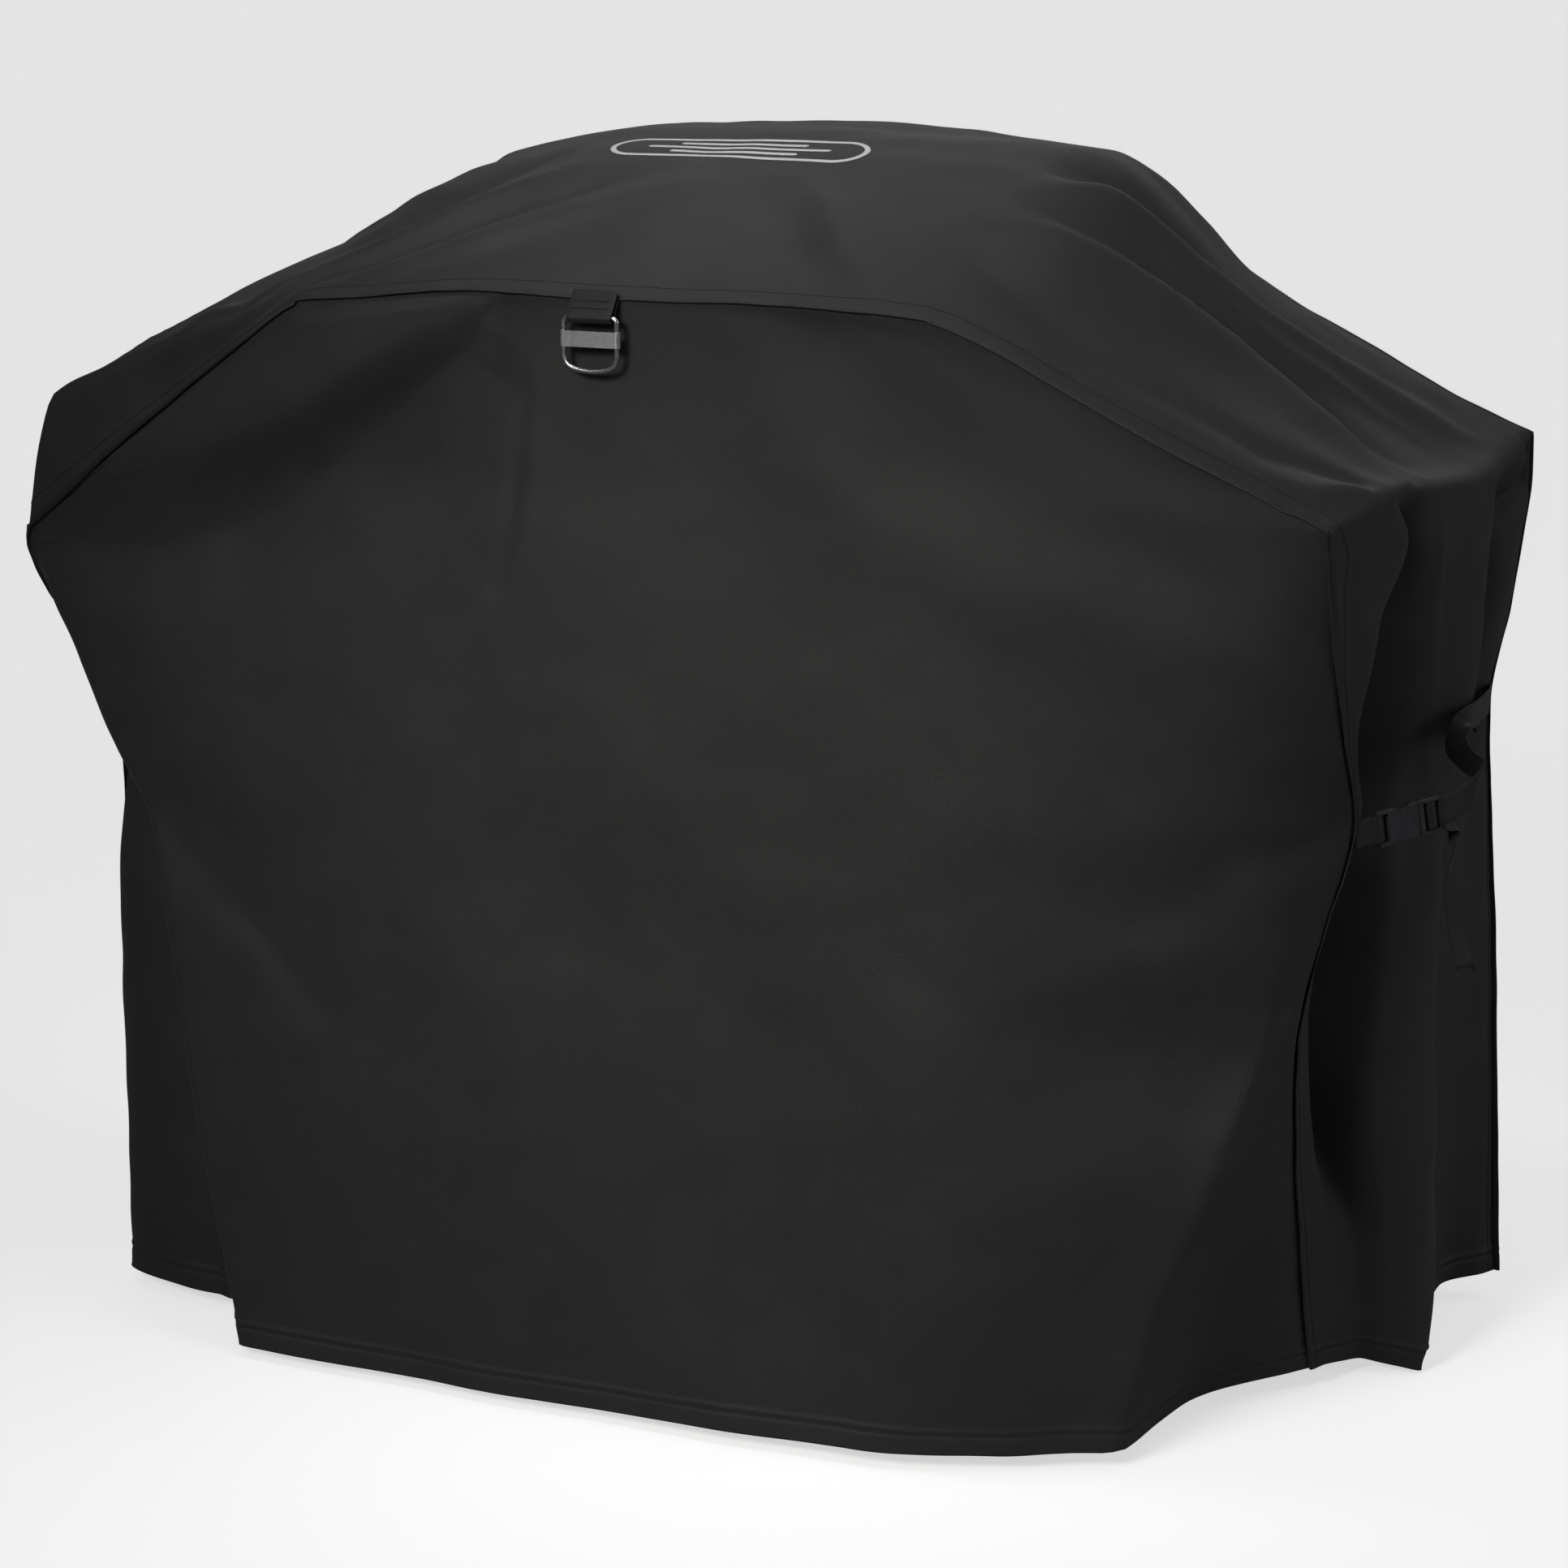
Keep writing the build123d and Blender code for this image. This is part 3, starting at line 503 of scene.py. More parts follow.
def grid_quads(grid):
    """Corner numbers of each of a grid's cells."""
    rows, columns = grid.shape[:2]
    corner = np.arange(rows * columns).reshape(rows, columns)
    cells = np.stack([corner[:-1, :-1], corner[:-1, 1:], corner[1:, 1:], corner[1:, :-1]], -1)
    return cells.reshape(-1, 4)


def grid_mesh(name, grid):
    """Object of a grid, with its flat lengths in metres as UVs and its thickness turned inwards."""
    quads = grid_quads(grid)
    piece = link_mesh(name, grid.reshape(-1, 3).tolist(), quads.tolist())
    across = np.linalg.norm(np.diff(grid, axis=1), axis=2).mean(0)
    along = np.linalg.norm(np.diff(grid, axis=0), axis=2).mean(1)
    u, v = np.r_[0, np.cumsum(across)], np.r_[0, np.cumsum(along)]
    flat = np.stack(np.meshgrid(u, v), -1).reshape(-1, 2)
    layer = piece.data.uv_layers.new(name="cloth")
    layer.data.foreach_set("uv", flat[quads.reshape(-1)].ravel())
    add_shell(piece, grid, CLOTH)
    return piece


def add_shell(piece, grid, thickness):
    """Thickness of the cloth, doubled at the hem."""
    group = piece.vertex_groups.new(name="doubled")
    columns = grid.shape[1]
    for row, weight in enumerate(piece_hem(grid)):
        group.add(list(range(row * columns, (row + 1) * columns)), float(weight), "REPLACE")
    shell = piece.modifiers.new("thickness", "SOLIDIFY")
    shell.thickness, shell.offset = thickness * 2.2, -1
    shell.vertex_group, shell.thickness_vertex_group = "doubled", 1 / 2.2


def piece_hem(grid):
    """How far each row is part of a doubled hem, from 0 to 1."""
    rows = grid.shape[0]
    band = np.clip((HEM_TALL + 0.002 - ROW_AT[:rows] * ROW_HEIGHT) / 0.002, 0, 1)
    if rows == len(ROW_AT):
        band = np.maximum(band, band[::-1])
    return band


def link(name, data):
    """Object of a mesh, lamp or camera, placed in the scene."""
    made = bpy.data.objects.new(name, data)
    bpy.context.scene.collection.objects.link(made)
    return made


def link_mesh(name, verts, faces):
    """Smooth-shaded object from vertices and faces."""
    mesh = bpy.data.meshes.new(name)
    mesh.from_pydata([tuple(vert) for vert in verts], [], faces)
    mesh.polygons.foreach_set("use_smooth", [True] * len(faces))
    return link(name, mesh)


# ---- materials --------------------------------------------------------------------------------
class Nodes:
    """Short way to lay out a material's nodes."""

    def __init__(self, name, colour, roughness, metallic=0.0):
        self.made = bpy.data.materials.new(name)
        self.made.use_nodes = True
        self.tree = self.made.node_tree
        self.shader = self.tree.nodes["Principled BSDF"]
        self.shader.inputs["Base Color"].default_value = (*colour, 1)
        self.shader.inputs["Roughness"].default_value = roughness
        self.shader.inputs["Metallic"].default_value = metallic

    def add(self, kind, links=(), **values):
        node = self.tree.nodes.new("ShaderNode" + kind)
        for key, value in values.items():
            if hasattr(node, key):
                setattr(node, key, value)
            else:
                node.inputs[key.replace("_", " ")].default_value = value
        for socket, source in dict(links).items():
            self.tree.links.new(source, node.inputs[socket])
        return node

    def math(self, operation, a, b=None):
        node = self.add("Math", operation=operation)
        for number, value in enumerate((a, b)):
            if value is None:
                continue
            if isinstance(value, (int, float)):
                node.inputs[number].default_value = value
            else:
                self.tree.links.new(value, node.inputs[number])
        return node.outputs[0]

    def noise(self, coordinates, scale, detail=2.0, roughness=0.5):
        node = self.add("TexNoise", {"Vector": coordinates}, Scale=scale, Detail=detail, Roughness=roughness)
        return node.outputs["Fac"]

    def ramp(self, factor, stops):
        """Colour ramp; stops are (position, colour)."""
        node = self.add("ValToRGB", {"Fac": factor})
        elements = node.color_ramp.elements
        while len(elements) < len(stops):
            elements.new(0.5)
        for element, (position, colour) in zip(elements, stops):
            element.position, element.color = position, (*colour, 1)
        return node.outputs["Color"]

    def spread(self, factor, low, high):
        """Maps a 0 to 1 factor to a range."""
        node = self.add("MapRange", {"Value": factor}, To_Min=low, To_Max=high)
        return node.outputs["Result"]

    def bump(self, height, distance, strength=1.0):
        node = self.add("Bump", {"Height": height}, Distance=distance, Strength=strength)
        self.set("Normal", node.outputs["Normal"])

    def set(self, socket, source):
        self.tree.links.new(source, self.shader.inputs[socket])

    def object_place(self):
        return self.add("TexCoord").outputs["Object"]

    def uv_place(self):
        return self.add("UVMap", uv_map="cloth").outputs["UV"]


def shades(colour, low, high):
    """Two colours a little darker and lighter than a base."""
    return [tuple(channel * share for channel in colour) for share in (low, high)]


def woven(name, colour, pitch, roughness, sheen, rib=False):
    """Woven cloth: yarns that pass over and under, uneven in thickness and shade."""
    cloth = Nodes(name, colour, roughness)
    place = cloth.uv_place()
    split = cloth.add("SeparateXYZ", {"Vector": place})
    turns = 2 * math.pi / pitch
    warp = cloth.math("SINE", cloth.math("MULTIPLY", split.outputs["X"], turns))
    weft_at = cloth.math("MULTIPLY", split.outputs["Y"], turns)
    if rib:
        weft_at = cloth.math("ADD", weft_at, cloth.math("MULTIPLY", split.outputs["X"], turns))
    weft = cloth.math("SINE", weft_at)
    weave = cloth.math("MULTIPLY", warp, weft)
    slub = cloth.noise(place, 420 if not rib else 900, 3.0, 0.6)
    height = cloth.math("ADD", cloth.math("MULTIPLY", weave, 0.35), slub)
    cloth.bump(height, 0.00035, 0.55)
    mottle = cloth.noise(cloth.object_place(), 22, 4.0, 0.6)
    yarn = cloth.noise(place, 330, 3.0, 0.75)
    shade = cloth.math("ADD", cloth.math("MULTIPLY", mottle, 0.3), cloth.math("MULTIPLY", yarn, 0.7))
    dark, light = shades(colour, 0.82, 1.18)
    cloth.set("Base Color", cloth.ramp(shade, [(0.34, dark), (0.66, light)]))
    cloth.set("Roughness", cloth.spread(mottle, roughness - 0.08, roughness + 0.08))
    cloth.shader.inputs["Sheen Weight"].default_value = sheen
    cloth.shader.inputs["Sheen Roughness"].default_value = 0.45
    cloth.shader.inputs["Specular IOR Level"].default_value = 0.36
    return cloth.made


def moulded(name, colour, roughness):
    """Moulded nylon: faint grain and slightly uneven gloss."""
    nylon = Nodes(name, colour, roughness)
    place = nylon.object_place()
    grain = nylon.noise(place, 2600, 2.0)
    cloud = nylon.noise(place, 120, 3.0)
    nylon.bump(grain, 0.00012, 0.5)
    dark, light = shades(colour, 0.85, 1.2)
    nylon.set("Base Color", nylon.ramp(cloud, [(0.35, dark), (0.65, light)]))
    nylon.set("Roughness", nylon.spread(cloud, roughness - 0.07, roughness + 0.10))
    return nylon.made


def plated(name, colour, roughness):
    """Nickel-plated steel with a faint drawn grain."""
    steel = Nodes(name, colour, roughness, 1.0)
    place = steel.object_place()
    cloud = steel.noise(place, 300, 4.0, 0.6)
    grain = steel.noise(place, 3500, 2.0)
    steel.bump(grain, 0.00005, 0.35)
    dark, light = shades(colour, 0.9, 1.05)
    steel.set("Base Color", steel.ramp(cloud, [(0.3, dark), (0.7, light)]))
    steel.set("Roughness", steel.spread(cloud, roughness - 0.06, roughness + 0.10))
    return steel.made


def printed(name, colour):
    """Matt ink on cloth, a little worn through on the yarns."""
    ink = Nodes(name, colour, 0.7)
    place = ink.object_place()
    yarn = ink.noise(place, 900, 3.0, 0.7)
    worn, full = shades(colour, 0.72, 1.05)
    ink.set("Base Color", ink.ramp(yarn, [(0.34, worn), (0.5, full)]))
    ink.bump(yarn, 0.0002, 0.4)
    return ink.made


CLOTH_FINISH = woven("black_polyester", (0.0300, 0.0297, 0.0290), 0.0016, 0.60, 0.06)
WEBBING_FINISH = woven("black_webbing", (0.0150, 0.0152, 0.0160), 0.0022, 0.55, 0.10, rib=True)
THREAD_FINISH = woven("black_thread", (0.0190, 0.0190, 0.0190), 0.0016, 0.45, 0.05)
PLASTIC_FINISH = moulded("black_nylon", (0.030, 0.031, 0.034), 0.38)
RING_FINISH = plated("nickel_wire", (0.78, 0.78, 0.77), 0.24)
PLATE_FINISH = plated("nickel_plate", (0.86, 0.86, 0.85), 0.34)
INK_FINISH = printed("pale_ink", (0.62, 0.62, 0.60))

# ---- the three cloth panels -----------------------------------------------------------------------
strip = strip_grid()
front = front_grid(strip)
rear = rear_grid(strip)


def shape_strip():
    """Folds and unevenness of the strip; its two seams stay where they are."""
    across = near_edge(STRIP_COLUMNS + 1, 5)
    free = (1 - across)[None]
    on_top = np.clip((np.minimum(ROW_AT, LAST - ROW_AT) - SIDE_ROWS + 6) / 8, 0, 1)[:, None]
    right = (ROW_AT < KINK)[:, None] * (1 - on_top)
    left = (ROW_AT > LAST - KINK)[:, None] * (1 - on_top)
    soften(strip, 3)
    add_folds(strip, [0, 1], TOP_FOLDS, on_top * free)
    add_folds(strip, [1, 2], RIGHT_FOLDS, right * free)
    add_folds(strip, [1, 2], LEFT_FOLDS, left * free)
    wander(strip, 0.16, 0.004, 1)
    wander(strip, 0.045, 0.0011, 2)


def shape_panel(panel, folds, seed):
    """Folds and unevenness of a panel; its border stays where it is."""
    count = len(panel)
    below_top = np.clip((KINK + 1 - ROW_AT[:count]) / 4, 0, 1)
    free = (1 - near_edge(PANEL_COLUMNS + 1, 6))[None] * below_top[:, None]
    soften(panel, 2)
    add_folds(panel, [0, 2], folds, free)
    wander(panel, 0.17, 0.0045, seed)
    wander(panel, 0.05, 0.0010, seed + 1)


shape_strip()
shape_panel(front, FRONT_FOLDS, 3)
shape_panel(rear, REAR_FOLDS, 5)


def rejoin(panel, right, left, top):
    """Brings a panel's border back to the strip after both have been shaped."""
    count = len(panel)
    along = np.linspace(0, 1, len(top))
    edge = np.stack([np.interp(np.linspace(0, 1, PANEL_COLUMNS + 1), along, top[:, k]) for k in range(3)], 1)
    fit_border(panel, left[:count], right[:count], edge)


hood = (ROW_AT >= KINK) & (ROW_AT <= LAST - KINK)
rejoin(front, strip[:, 0], strip[::-1, 0], strip[hood, 0][::-1])
rejoin(rear, strip[::-1, -1], strip[:, -1], strip[hood, -1])


def along_seam(first, top, last):
    """Joins what holds along a panel's two sides and top into one row per station of the strip."""
    count = hood.sum()
    at, places = np.linspace(0, 1, count), np.linspace(0, 1, len(top))
    spread = np.stack([np.interp(at, places, top[:, k]) for k in range(3)], 1)
    joined = np.concatenate([first[:-1], spread, last[::-1][1:]])
    for _ in range(12):
        joined[1:-1] = (joined[:-2] + 2 * joined[1:-1] + joined[2:]) / 4
    return unit(joined)


def seam_frame(panel, right_first):
    """Outward directions along the strip's edge, and directions from the edge into the panel."""
    normal = grid_normals(panel)
    sides = (normal[:, 4], normal[:, -5])
    inward = (panel[:, 4] - panel[:, 0], panel[:, -5] - panel[:, -1])
    top, down = normal[-5], panel[-5] - panel[-1]
    if right_first:
        return along_seam(sides[0], top, sides[1]), along_seam(inward[0], down, inward[1])
    return along_seam(sides[1], top[::-1], sides[0]), along_seam(inward[1], down[::-1], inward[0])


SEAM_PROUD = 0.0026       # how far the strip's edge stands over a panel
SEAM_SET_BACK = 0.0016    # how far a panel's edge lies under the strip
SEAM_LAP = 0.0045         # how far the strip's edge reaches over a panel
front_out, front_in = seam_frame(front, False)
rear_out, rear_in = seam_frame(rear, True)


def lift_seams():
    """The strip's edges lie over the panels', as a felled seam does."""
    ramp = np.array([1, 0.9, 0.55, 0.2])
    rumple = np.array([noise.noise(Vector(point) / 0.022) for point in strip[:, 0]])[:, None]
    for k, share in enumerate(ramp):
        strip[:, k] += (front_out * (SEAM_PROUD + 0.0010 * rumple) + front_in * SEAM_LAP) * share
        strip[:, -1 - k] += (rear_out * SEAM_PROUD + rear_in * SEAM_LAP) * share
    for panel in (front, rear):
        normal = grid_normals(panel)
        back = near_edge(PANEL_COLUMNS + 1, 3)[None] + np.zeros((len(panel), 1))
        top = np.clip(1 - (len(panel) - 1 - np.arange(len(panel))) / 3, 0, 1)[:, None]
        panel -= normal * (np.maximum(back, top) * SEAM_SET_BACK)[..., None]


lift_seams()
stations = np.minimum(ROW_AT, LAST - ROW_AT)
add_hem(strip, stations)
add_hem(front, ROW_AT[:len(front)])
add_hem(rear, ROW_AT[:len(rear)])

strip_piece = grid_mesh("strip_cloth", strip)
front_piece = grid_mesh("front_cloth", front)
rear_piece = grid_mesh("rear_cloth", rear)


def area_of(grid):
    """Area of a grid's cells, in square metres."""
    a, b = grid[1:, 1:] - grid[:-1, :-1], grid[1:, :-1] - grid[:-1, 1:]
    return float(np.linalg.norm(np.cross(a, b), axis=2).sum() / 2)


for piece, grid, flat, nodes in (
        (strip_piece, strip, (0.70, 3.24), ["top_and_side_panel", "right_hem", "left_hem"]),
        (front_piece, front, (1.36, 1.10), ["front_panel", "front_hem"]),
        (rear_piece, rear, (1.36, 1.07), ["rear_panel", "rear_hem"])):
    piece.data.materials.append(CLOTH_FINISH)
    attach(piece, "cover")
    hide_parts(*nodes)
    print("sheet", piece.name, round(area_of(grid), 4), "of", round(flat[0] * flat[1], 4))


# ---- webbing ------------------------------------------------------------------------------------
WEB_WIDTH, WEB_THICK = 0.025, 0.0015
TAB_WIDTH, TAB_TAPE = 0.044, 0.0016
RING_X = -0.029           # middle of the ring and its tab

# Buckle's own frame on the right: the socket's mouth, along the strap, inwards, across the webbing.
MOUTH = np.array((0.6726, -0.1489, 0.6149))
ALONG = np.array((0.7098, 0.6848, 0.1650))
INWARD = np.array((-0.6943, 0.7197, 0.0))
ACROSS = np.array((-0.1187, -0.1145, 0.9863))


def on_buckle(x, y, z=0.0):
    return MOUTH + ALONG * x + INWARD * y + ACROSS * z


def smooth_path(points, count):
    """Catmull-Rom curve through points, with evenly spread samples."""
    points = np.asarray(points, float)
    ends = np.vstack([2 * points[0] - points[1], points, 2 * points[-1] - points[-2]])
    samples = []
    for k in range(len(points) - 1):
        a, b, c, d = ends[k:k + 4]
        t = np.linspace(0, 1, 24, endpoint=False)[:, None]
        samples.append(0.5 * (2 * b + (c - a) * t + (2 * a - 5 * b + 4 * c - d) * t ** 2
                              + (3 * b - a - 3 * c + d) * t ** 3))
    curve = np.vstack([*samples, points[-1:]])
    run = run_along(curve[:, :3])
    return resample(curve, run, np.linspace(0, run[-1], count)), run[-1]


def section(width, thick):
    """Outline of a tape's cross-section, with rounded selvedges."""
    half = [(-0.5, 0.0), (-0.494, 0.3), (-0.478, 0.47)]
    half += [(k / 8, 0.5) for k in range(-3, 4)]
    half += [(0.478, 0.47), (0.494, 0.3), (0.5, 0.0)]
    lower = [(x, -y) for x, y in half[-2:0:-1]]
    return np.array(half + lower) * (width, thick)


def ribbon(name, points, sides, width, thick, count, mirrored=False, cut=0.0):
    """Tape along a path; sides gives its across direction at each point. cut slants its far end."""
    both, length = smooth_path(np.hstack([points, sides]), count)
    path, side = both[:, :3], both[:, 3:]
    along = unit(np.gradient(path, axis=0))
    side = unit(side - along * (side * along).sum(1, keepdims=True))
    face = np.cross(along, side)
    outline = section(width, thick)
    rings = (path[:, None] + side[:, None] * outline[None, :, :1] + face[:, None] * outline[None, :, 1:])
    if cut:
        rings[-1] += along[-1] * outline[:, :1] * cut
    if mirrored:
        rings[..., 0] *= -1
    size = len(outline)
    faces, uvs = [], []
    girth = run_along(np.vstack([outline, outline[:1]]))
    step = length / (count - 1)
    for i in range(count - 1):
        for k in range(size):
            here, there, beside = i * size, (i + 1) * size, (k + 1) % size
            quad = [here + k, there + k, there + beside, here + beside]
            corners = [(girth[k], i * step), (girth[k], (i + 1) * step),
                       (girth[k + 1], (i + 1) * step), (girth[k + 1], i * step)]
            faces.append(quad[::-1] if mirrored else quad)
            uvs += corners[::-1] if mirrored else corners
    for ring, turned in ((0, mirrored), (count - 1, not mirrored)):
        cap = [ring * size + k for k in range(size)]
        faces.append(cap if not turned else cap[::-1])
        uvs += [(0.0, 0.0)] * size
    piece = link_mesh(name, rings.reshape(-1, 3), faces)
    layer = piece.data.uv_layers.new(name="cloth")
    layer.data.foreach_set("uv", np.array(uvs).ravel())
    piece.data.materials.append(WEBBING_FINISH)
    piece.data.polygons.foreach_set("use_smooth", [len(face) == 4 for face in faces])
    return piece, length


STUB_PATH = [(-.0625, -.0009), (-.052, -.0009), (-.0445, -.0013), (-.0408, -.0031), (-.0368, -.0031),
             (-.0348, -.0014), (-.0348, .0014), (-.0368, .0031), (-.0408, .0031), (-.0445, .0013),
             (-.052, .0009), (-.0625, .0009)]
THREADED = [(.0065, .0034), (.0088, .0010), (.0108, -.0024), (.0135, -.0033), (.0162, -.0024),
            (.0185, .0004), (.0220, .0014)]
SLACK = [((.7010, -.1130, .6245), (-.08, -.15, .98)), ((.7090, -.0930, .6340), (.05, -.25, .97)),
         ((.7085, -.0720, .6440), (.35, -.45, .82)), ((.6930, -.0580, .6500), (.62, -.50, .60)),
         ((.6790, -.0420, .6590), (.80, -.25, .55)), ((.6750, -.0150, .6680), (.75, .45, .30)),
         ((.6740, .0200, .6690), (.40, .35, -.70)), ((.6690, .0600, .6650), (.05, .10, -1.0)),
         ((.6620, .1100, .6600), (-.02, .05, -1.0)), ((.6550, .1600, .6550), (-.05, .05, -1.0)),
         ((.6455, .2150, .6480), (-.05, .05, -1.0)), ((.6360, .2580, .6435), (-.05, .05, -1.0)),
         ((.6300, .2790, .6420), (-.05, .05, -1.0))]
TAIL_START = [(.0078, .0040), (.0140, .0052), (.0215, .0060)]
TAIL = [((.6975, -.1150, .6060), (-.35, .50, .78)), ((.6960, -.1150, .5880), (-.40, .85, .30)),
        ((.6945, -.1110, .5550), (.10, .98, .10)), ((.6980, -.1050, .5170), (.25, .96, .10)),
        ((.7030, -.0990, .4900), (.30, .95, .15)), ((.7080, -.0950, .4710), (.32, .94, .15))]
TAB_PATH = [(-.3368, 1.0630), (-.3410, 1.0570), (-.3455, 1.0500), (-.3500, 1.0440), (-.3524, 1.0410),
            (-.3529, 1.0378), (-.3503, 1.0357), (-.3470, 1.0364), (-.3451, 1.0392), (-.3420, 1.0455),
            (-.3375, 1.0525), (-.3350, 1.0590)]


def strap(side, mirrored):
    """Webbing of one cinch strap: seam to socket, plug to rear seam, and the loose tail."""
    points = [on_buckle(*at) for at in STUB_PATH]
    stub, stub_long = ribbon(side + "_stub_webbing", points, [ACROSS] * len(points), WEB_WIDTH, WEB_THICK,
                             60, mirrored)
    points = [on_buckle(*at) for at in THREADED] + [point for point, _ in SLACK]
    sides = [ACROSS] * len(THREADED) + [turned for _, turned in SLACK]
    rear_web, rear_long = ribbon(side + "_adjusting_webbing", points, sides, WEB_WIDTH, WEB_THICK,
                                 190, mirrored)
    points = [on_buckle(*at) for at in TAIL_START] + [point for point, _ in TAIL]
    sides = [ACROSS] * len(TAIL_START) + [turned for _, turned in TAIL]
    tail, tail_long = ribbon(side + "_loose_tail", points, sides, WEB_WIDTH, WEB_THICK, 70, mirrored, 0.8)
    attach(stub, "cover")
    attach(tail, side + "_plug")
    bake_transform(rear_web)
    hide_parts(side + "_strap_stub")
    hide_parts(side + "_rear_webbing")
    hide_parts(side + "_webbing_tail")
    for piece, long in ((stub, stub_long), (rear_web, rear_long), (tail, tail_long)):
        print("webbing", piece.name, round(long, 4))


strap("right", False)
strap("left", True)


def ring_tab():
    """Wide tape folded round the ring's bar and sewn under the seam."""
    points = [(RING_X, y, z) for y, z in TAB_PATH]
    tab, long = ribbon("ring_tab_tape", points, [(1, 0, 0)] * len(points), TAB_WIDTH, TAB_TAPE, 60)
    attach(tab, "cover")
    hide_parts("hanger_tab")
    print("webbing", tab.name, round(long, 4))


ring_tab()


# ---- stitching -----------------------------------------------------------------------------------
STITCH_PITCH, STITCH_LONG, THREAD = 0.0036, 0.0027, 0.00042


def stitches(path, normals):
    """Vertices and faces of a row of thread stitches lying on the cloth along a path."""
    run = run_along(path)
    at = np.arange(STITCH_PITCH, run[-1] - STITCH_PITCH, STITCH_PITCH)
    start = resample(path, run, at - STITCH_LONG / 2)
    end = resample(path, run, at + STITCH_LONG / 2)
    up = resample(normals, run, at)
    side = np.cross(unit(end - start), up)
    rings = []
    for share, wide in ((0.0, 0.35), (0.2, 0.95), (0.5, 1.1), (0.8, 0.95), (1.0, 0.35)):
        middle = start + (end - start) * share + up * THREAD * (0.1 + 0.5 * wide)
        for k in range(6):
            turn = math.pi * k / 3
            rings.append(middle + THREAD * wide * (math.cos(turn) * side + math.sin(turn) * up))
    verts = np.stack(rings, 1)
    count, size = verts.shape[:2]
    one = [(r * 6 + k, r * 6 + (k + 1) % 6, (r + 1) * 6 + (k + 1) % 6, (r + 1) * 6 + k)
           for r in range(4) for k in range(6)]
    faces = (np.array(one)[None] + np.arange(count)[:, None, None] * size).reshape(-1, 4)
    return verts.reshape(-1, 3), faces


def sew(name, rows):
    """One piece from many rows of stitches."""
    verts, faces, base = [], [], 0
    for path, normals in rows:
        points, quads = stitches(path, normals)
        verts.append(points)
        faces.append(quads + base)
        base += len(points)
    piece = link_mesh(name, np.vstack(verts), np.vstack(faces).tolist())
    layer = piece.data.uv_layers.new(name="cloth")
    spots = np.zeros((len(piece.data.loops), 2))
    spots[:, 0] = np.arange(len(spots)) % 97 * 0.001
    layer.data.foreach_set("uv", spots.ravel())
    piece.data.materials.append(THREAD_FINISH)
    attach(piece, "cover")


def seam_rows():
    """Stitch rows beside the two long seams and round the hem."""
    rows = []
    strip_normals = grid_normals(strip)
    for column in (2, -3):
        rows.append((strip[:, column], strip_normals[:, column]))
    hem_row = int(round(HEM_STITCH / ROW_HEIGHT / FINE_STEP))
    for grid in (strip, front, rear):
        normals = grid_normals(grid)
        rows.append((grid[hem_row], normals[hem_row]))
    rows.append((strip[-1 - hem_row], strip_normals[-1 - hem_row]))
    return rows


def tab_rows():
    """Two rows across the ring's tab."""
    rows = []
    outward = np.array((0.0, -0.82, 0.57))
    for y, z in ((-.3441, 1.0540), (-.3484, 1.0480)):
        path = np.array([(RING_X - TAB_WIDTH / 2 + 0.002, y, z), (RING_X + TAB_WIDTH / 2 - 0.002, y, z)])
        path = np.stack([np.linspace(path[0, k], path[1, k], 20) for k in range(3)], 1)
        rows.append((path, np.tile(outward, (20, 1))))
    return rows


sew("seam_stitching", seam_rows())
sew("tab_stitching", tab_rows())

# ---- badge -------------------------------------------------------------------------------------------
BADGE_SIZE, BADGE_CENTRE, BADGE_LINE = (0.262, 0.060), (-0.018, -0.062), 0.0055


def on_hood(tree, x, y):
    """Point of the cloth under a place, a hair above it."""
    spot, normal, _, _ = tree.ray_cast(Vector((x, y, 2)), Vector((0, 0, -1)))
    return spot + normal * 0.0005


def stadium(wide, tall, count):
    """Evenly turned outline of a slot, as (x, y) points."""
    radius, half = tall / 2, (wide - tall) / 2
    points = []
    for turn in np.linspace(-math.pi / 2, math.pi / 2, count):
        points.append((half + radius * math.cos(turn), radius * math.sin(turn)))
    points += [(half * t, radius) for t in np.linspace(0.95, -0.95, count)]
    for turn in np.linspace(math.pi / 2, 1.5 * math.pi, count):
        points.append((-half + radius * math.cos(turn), radius * math.sin(turn)))
    points += [(half * t, -radius) for t in np.linspace(-0.95, 0.95, count)]
    return points


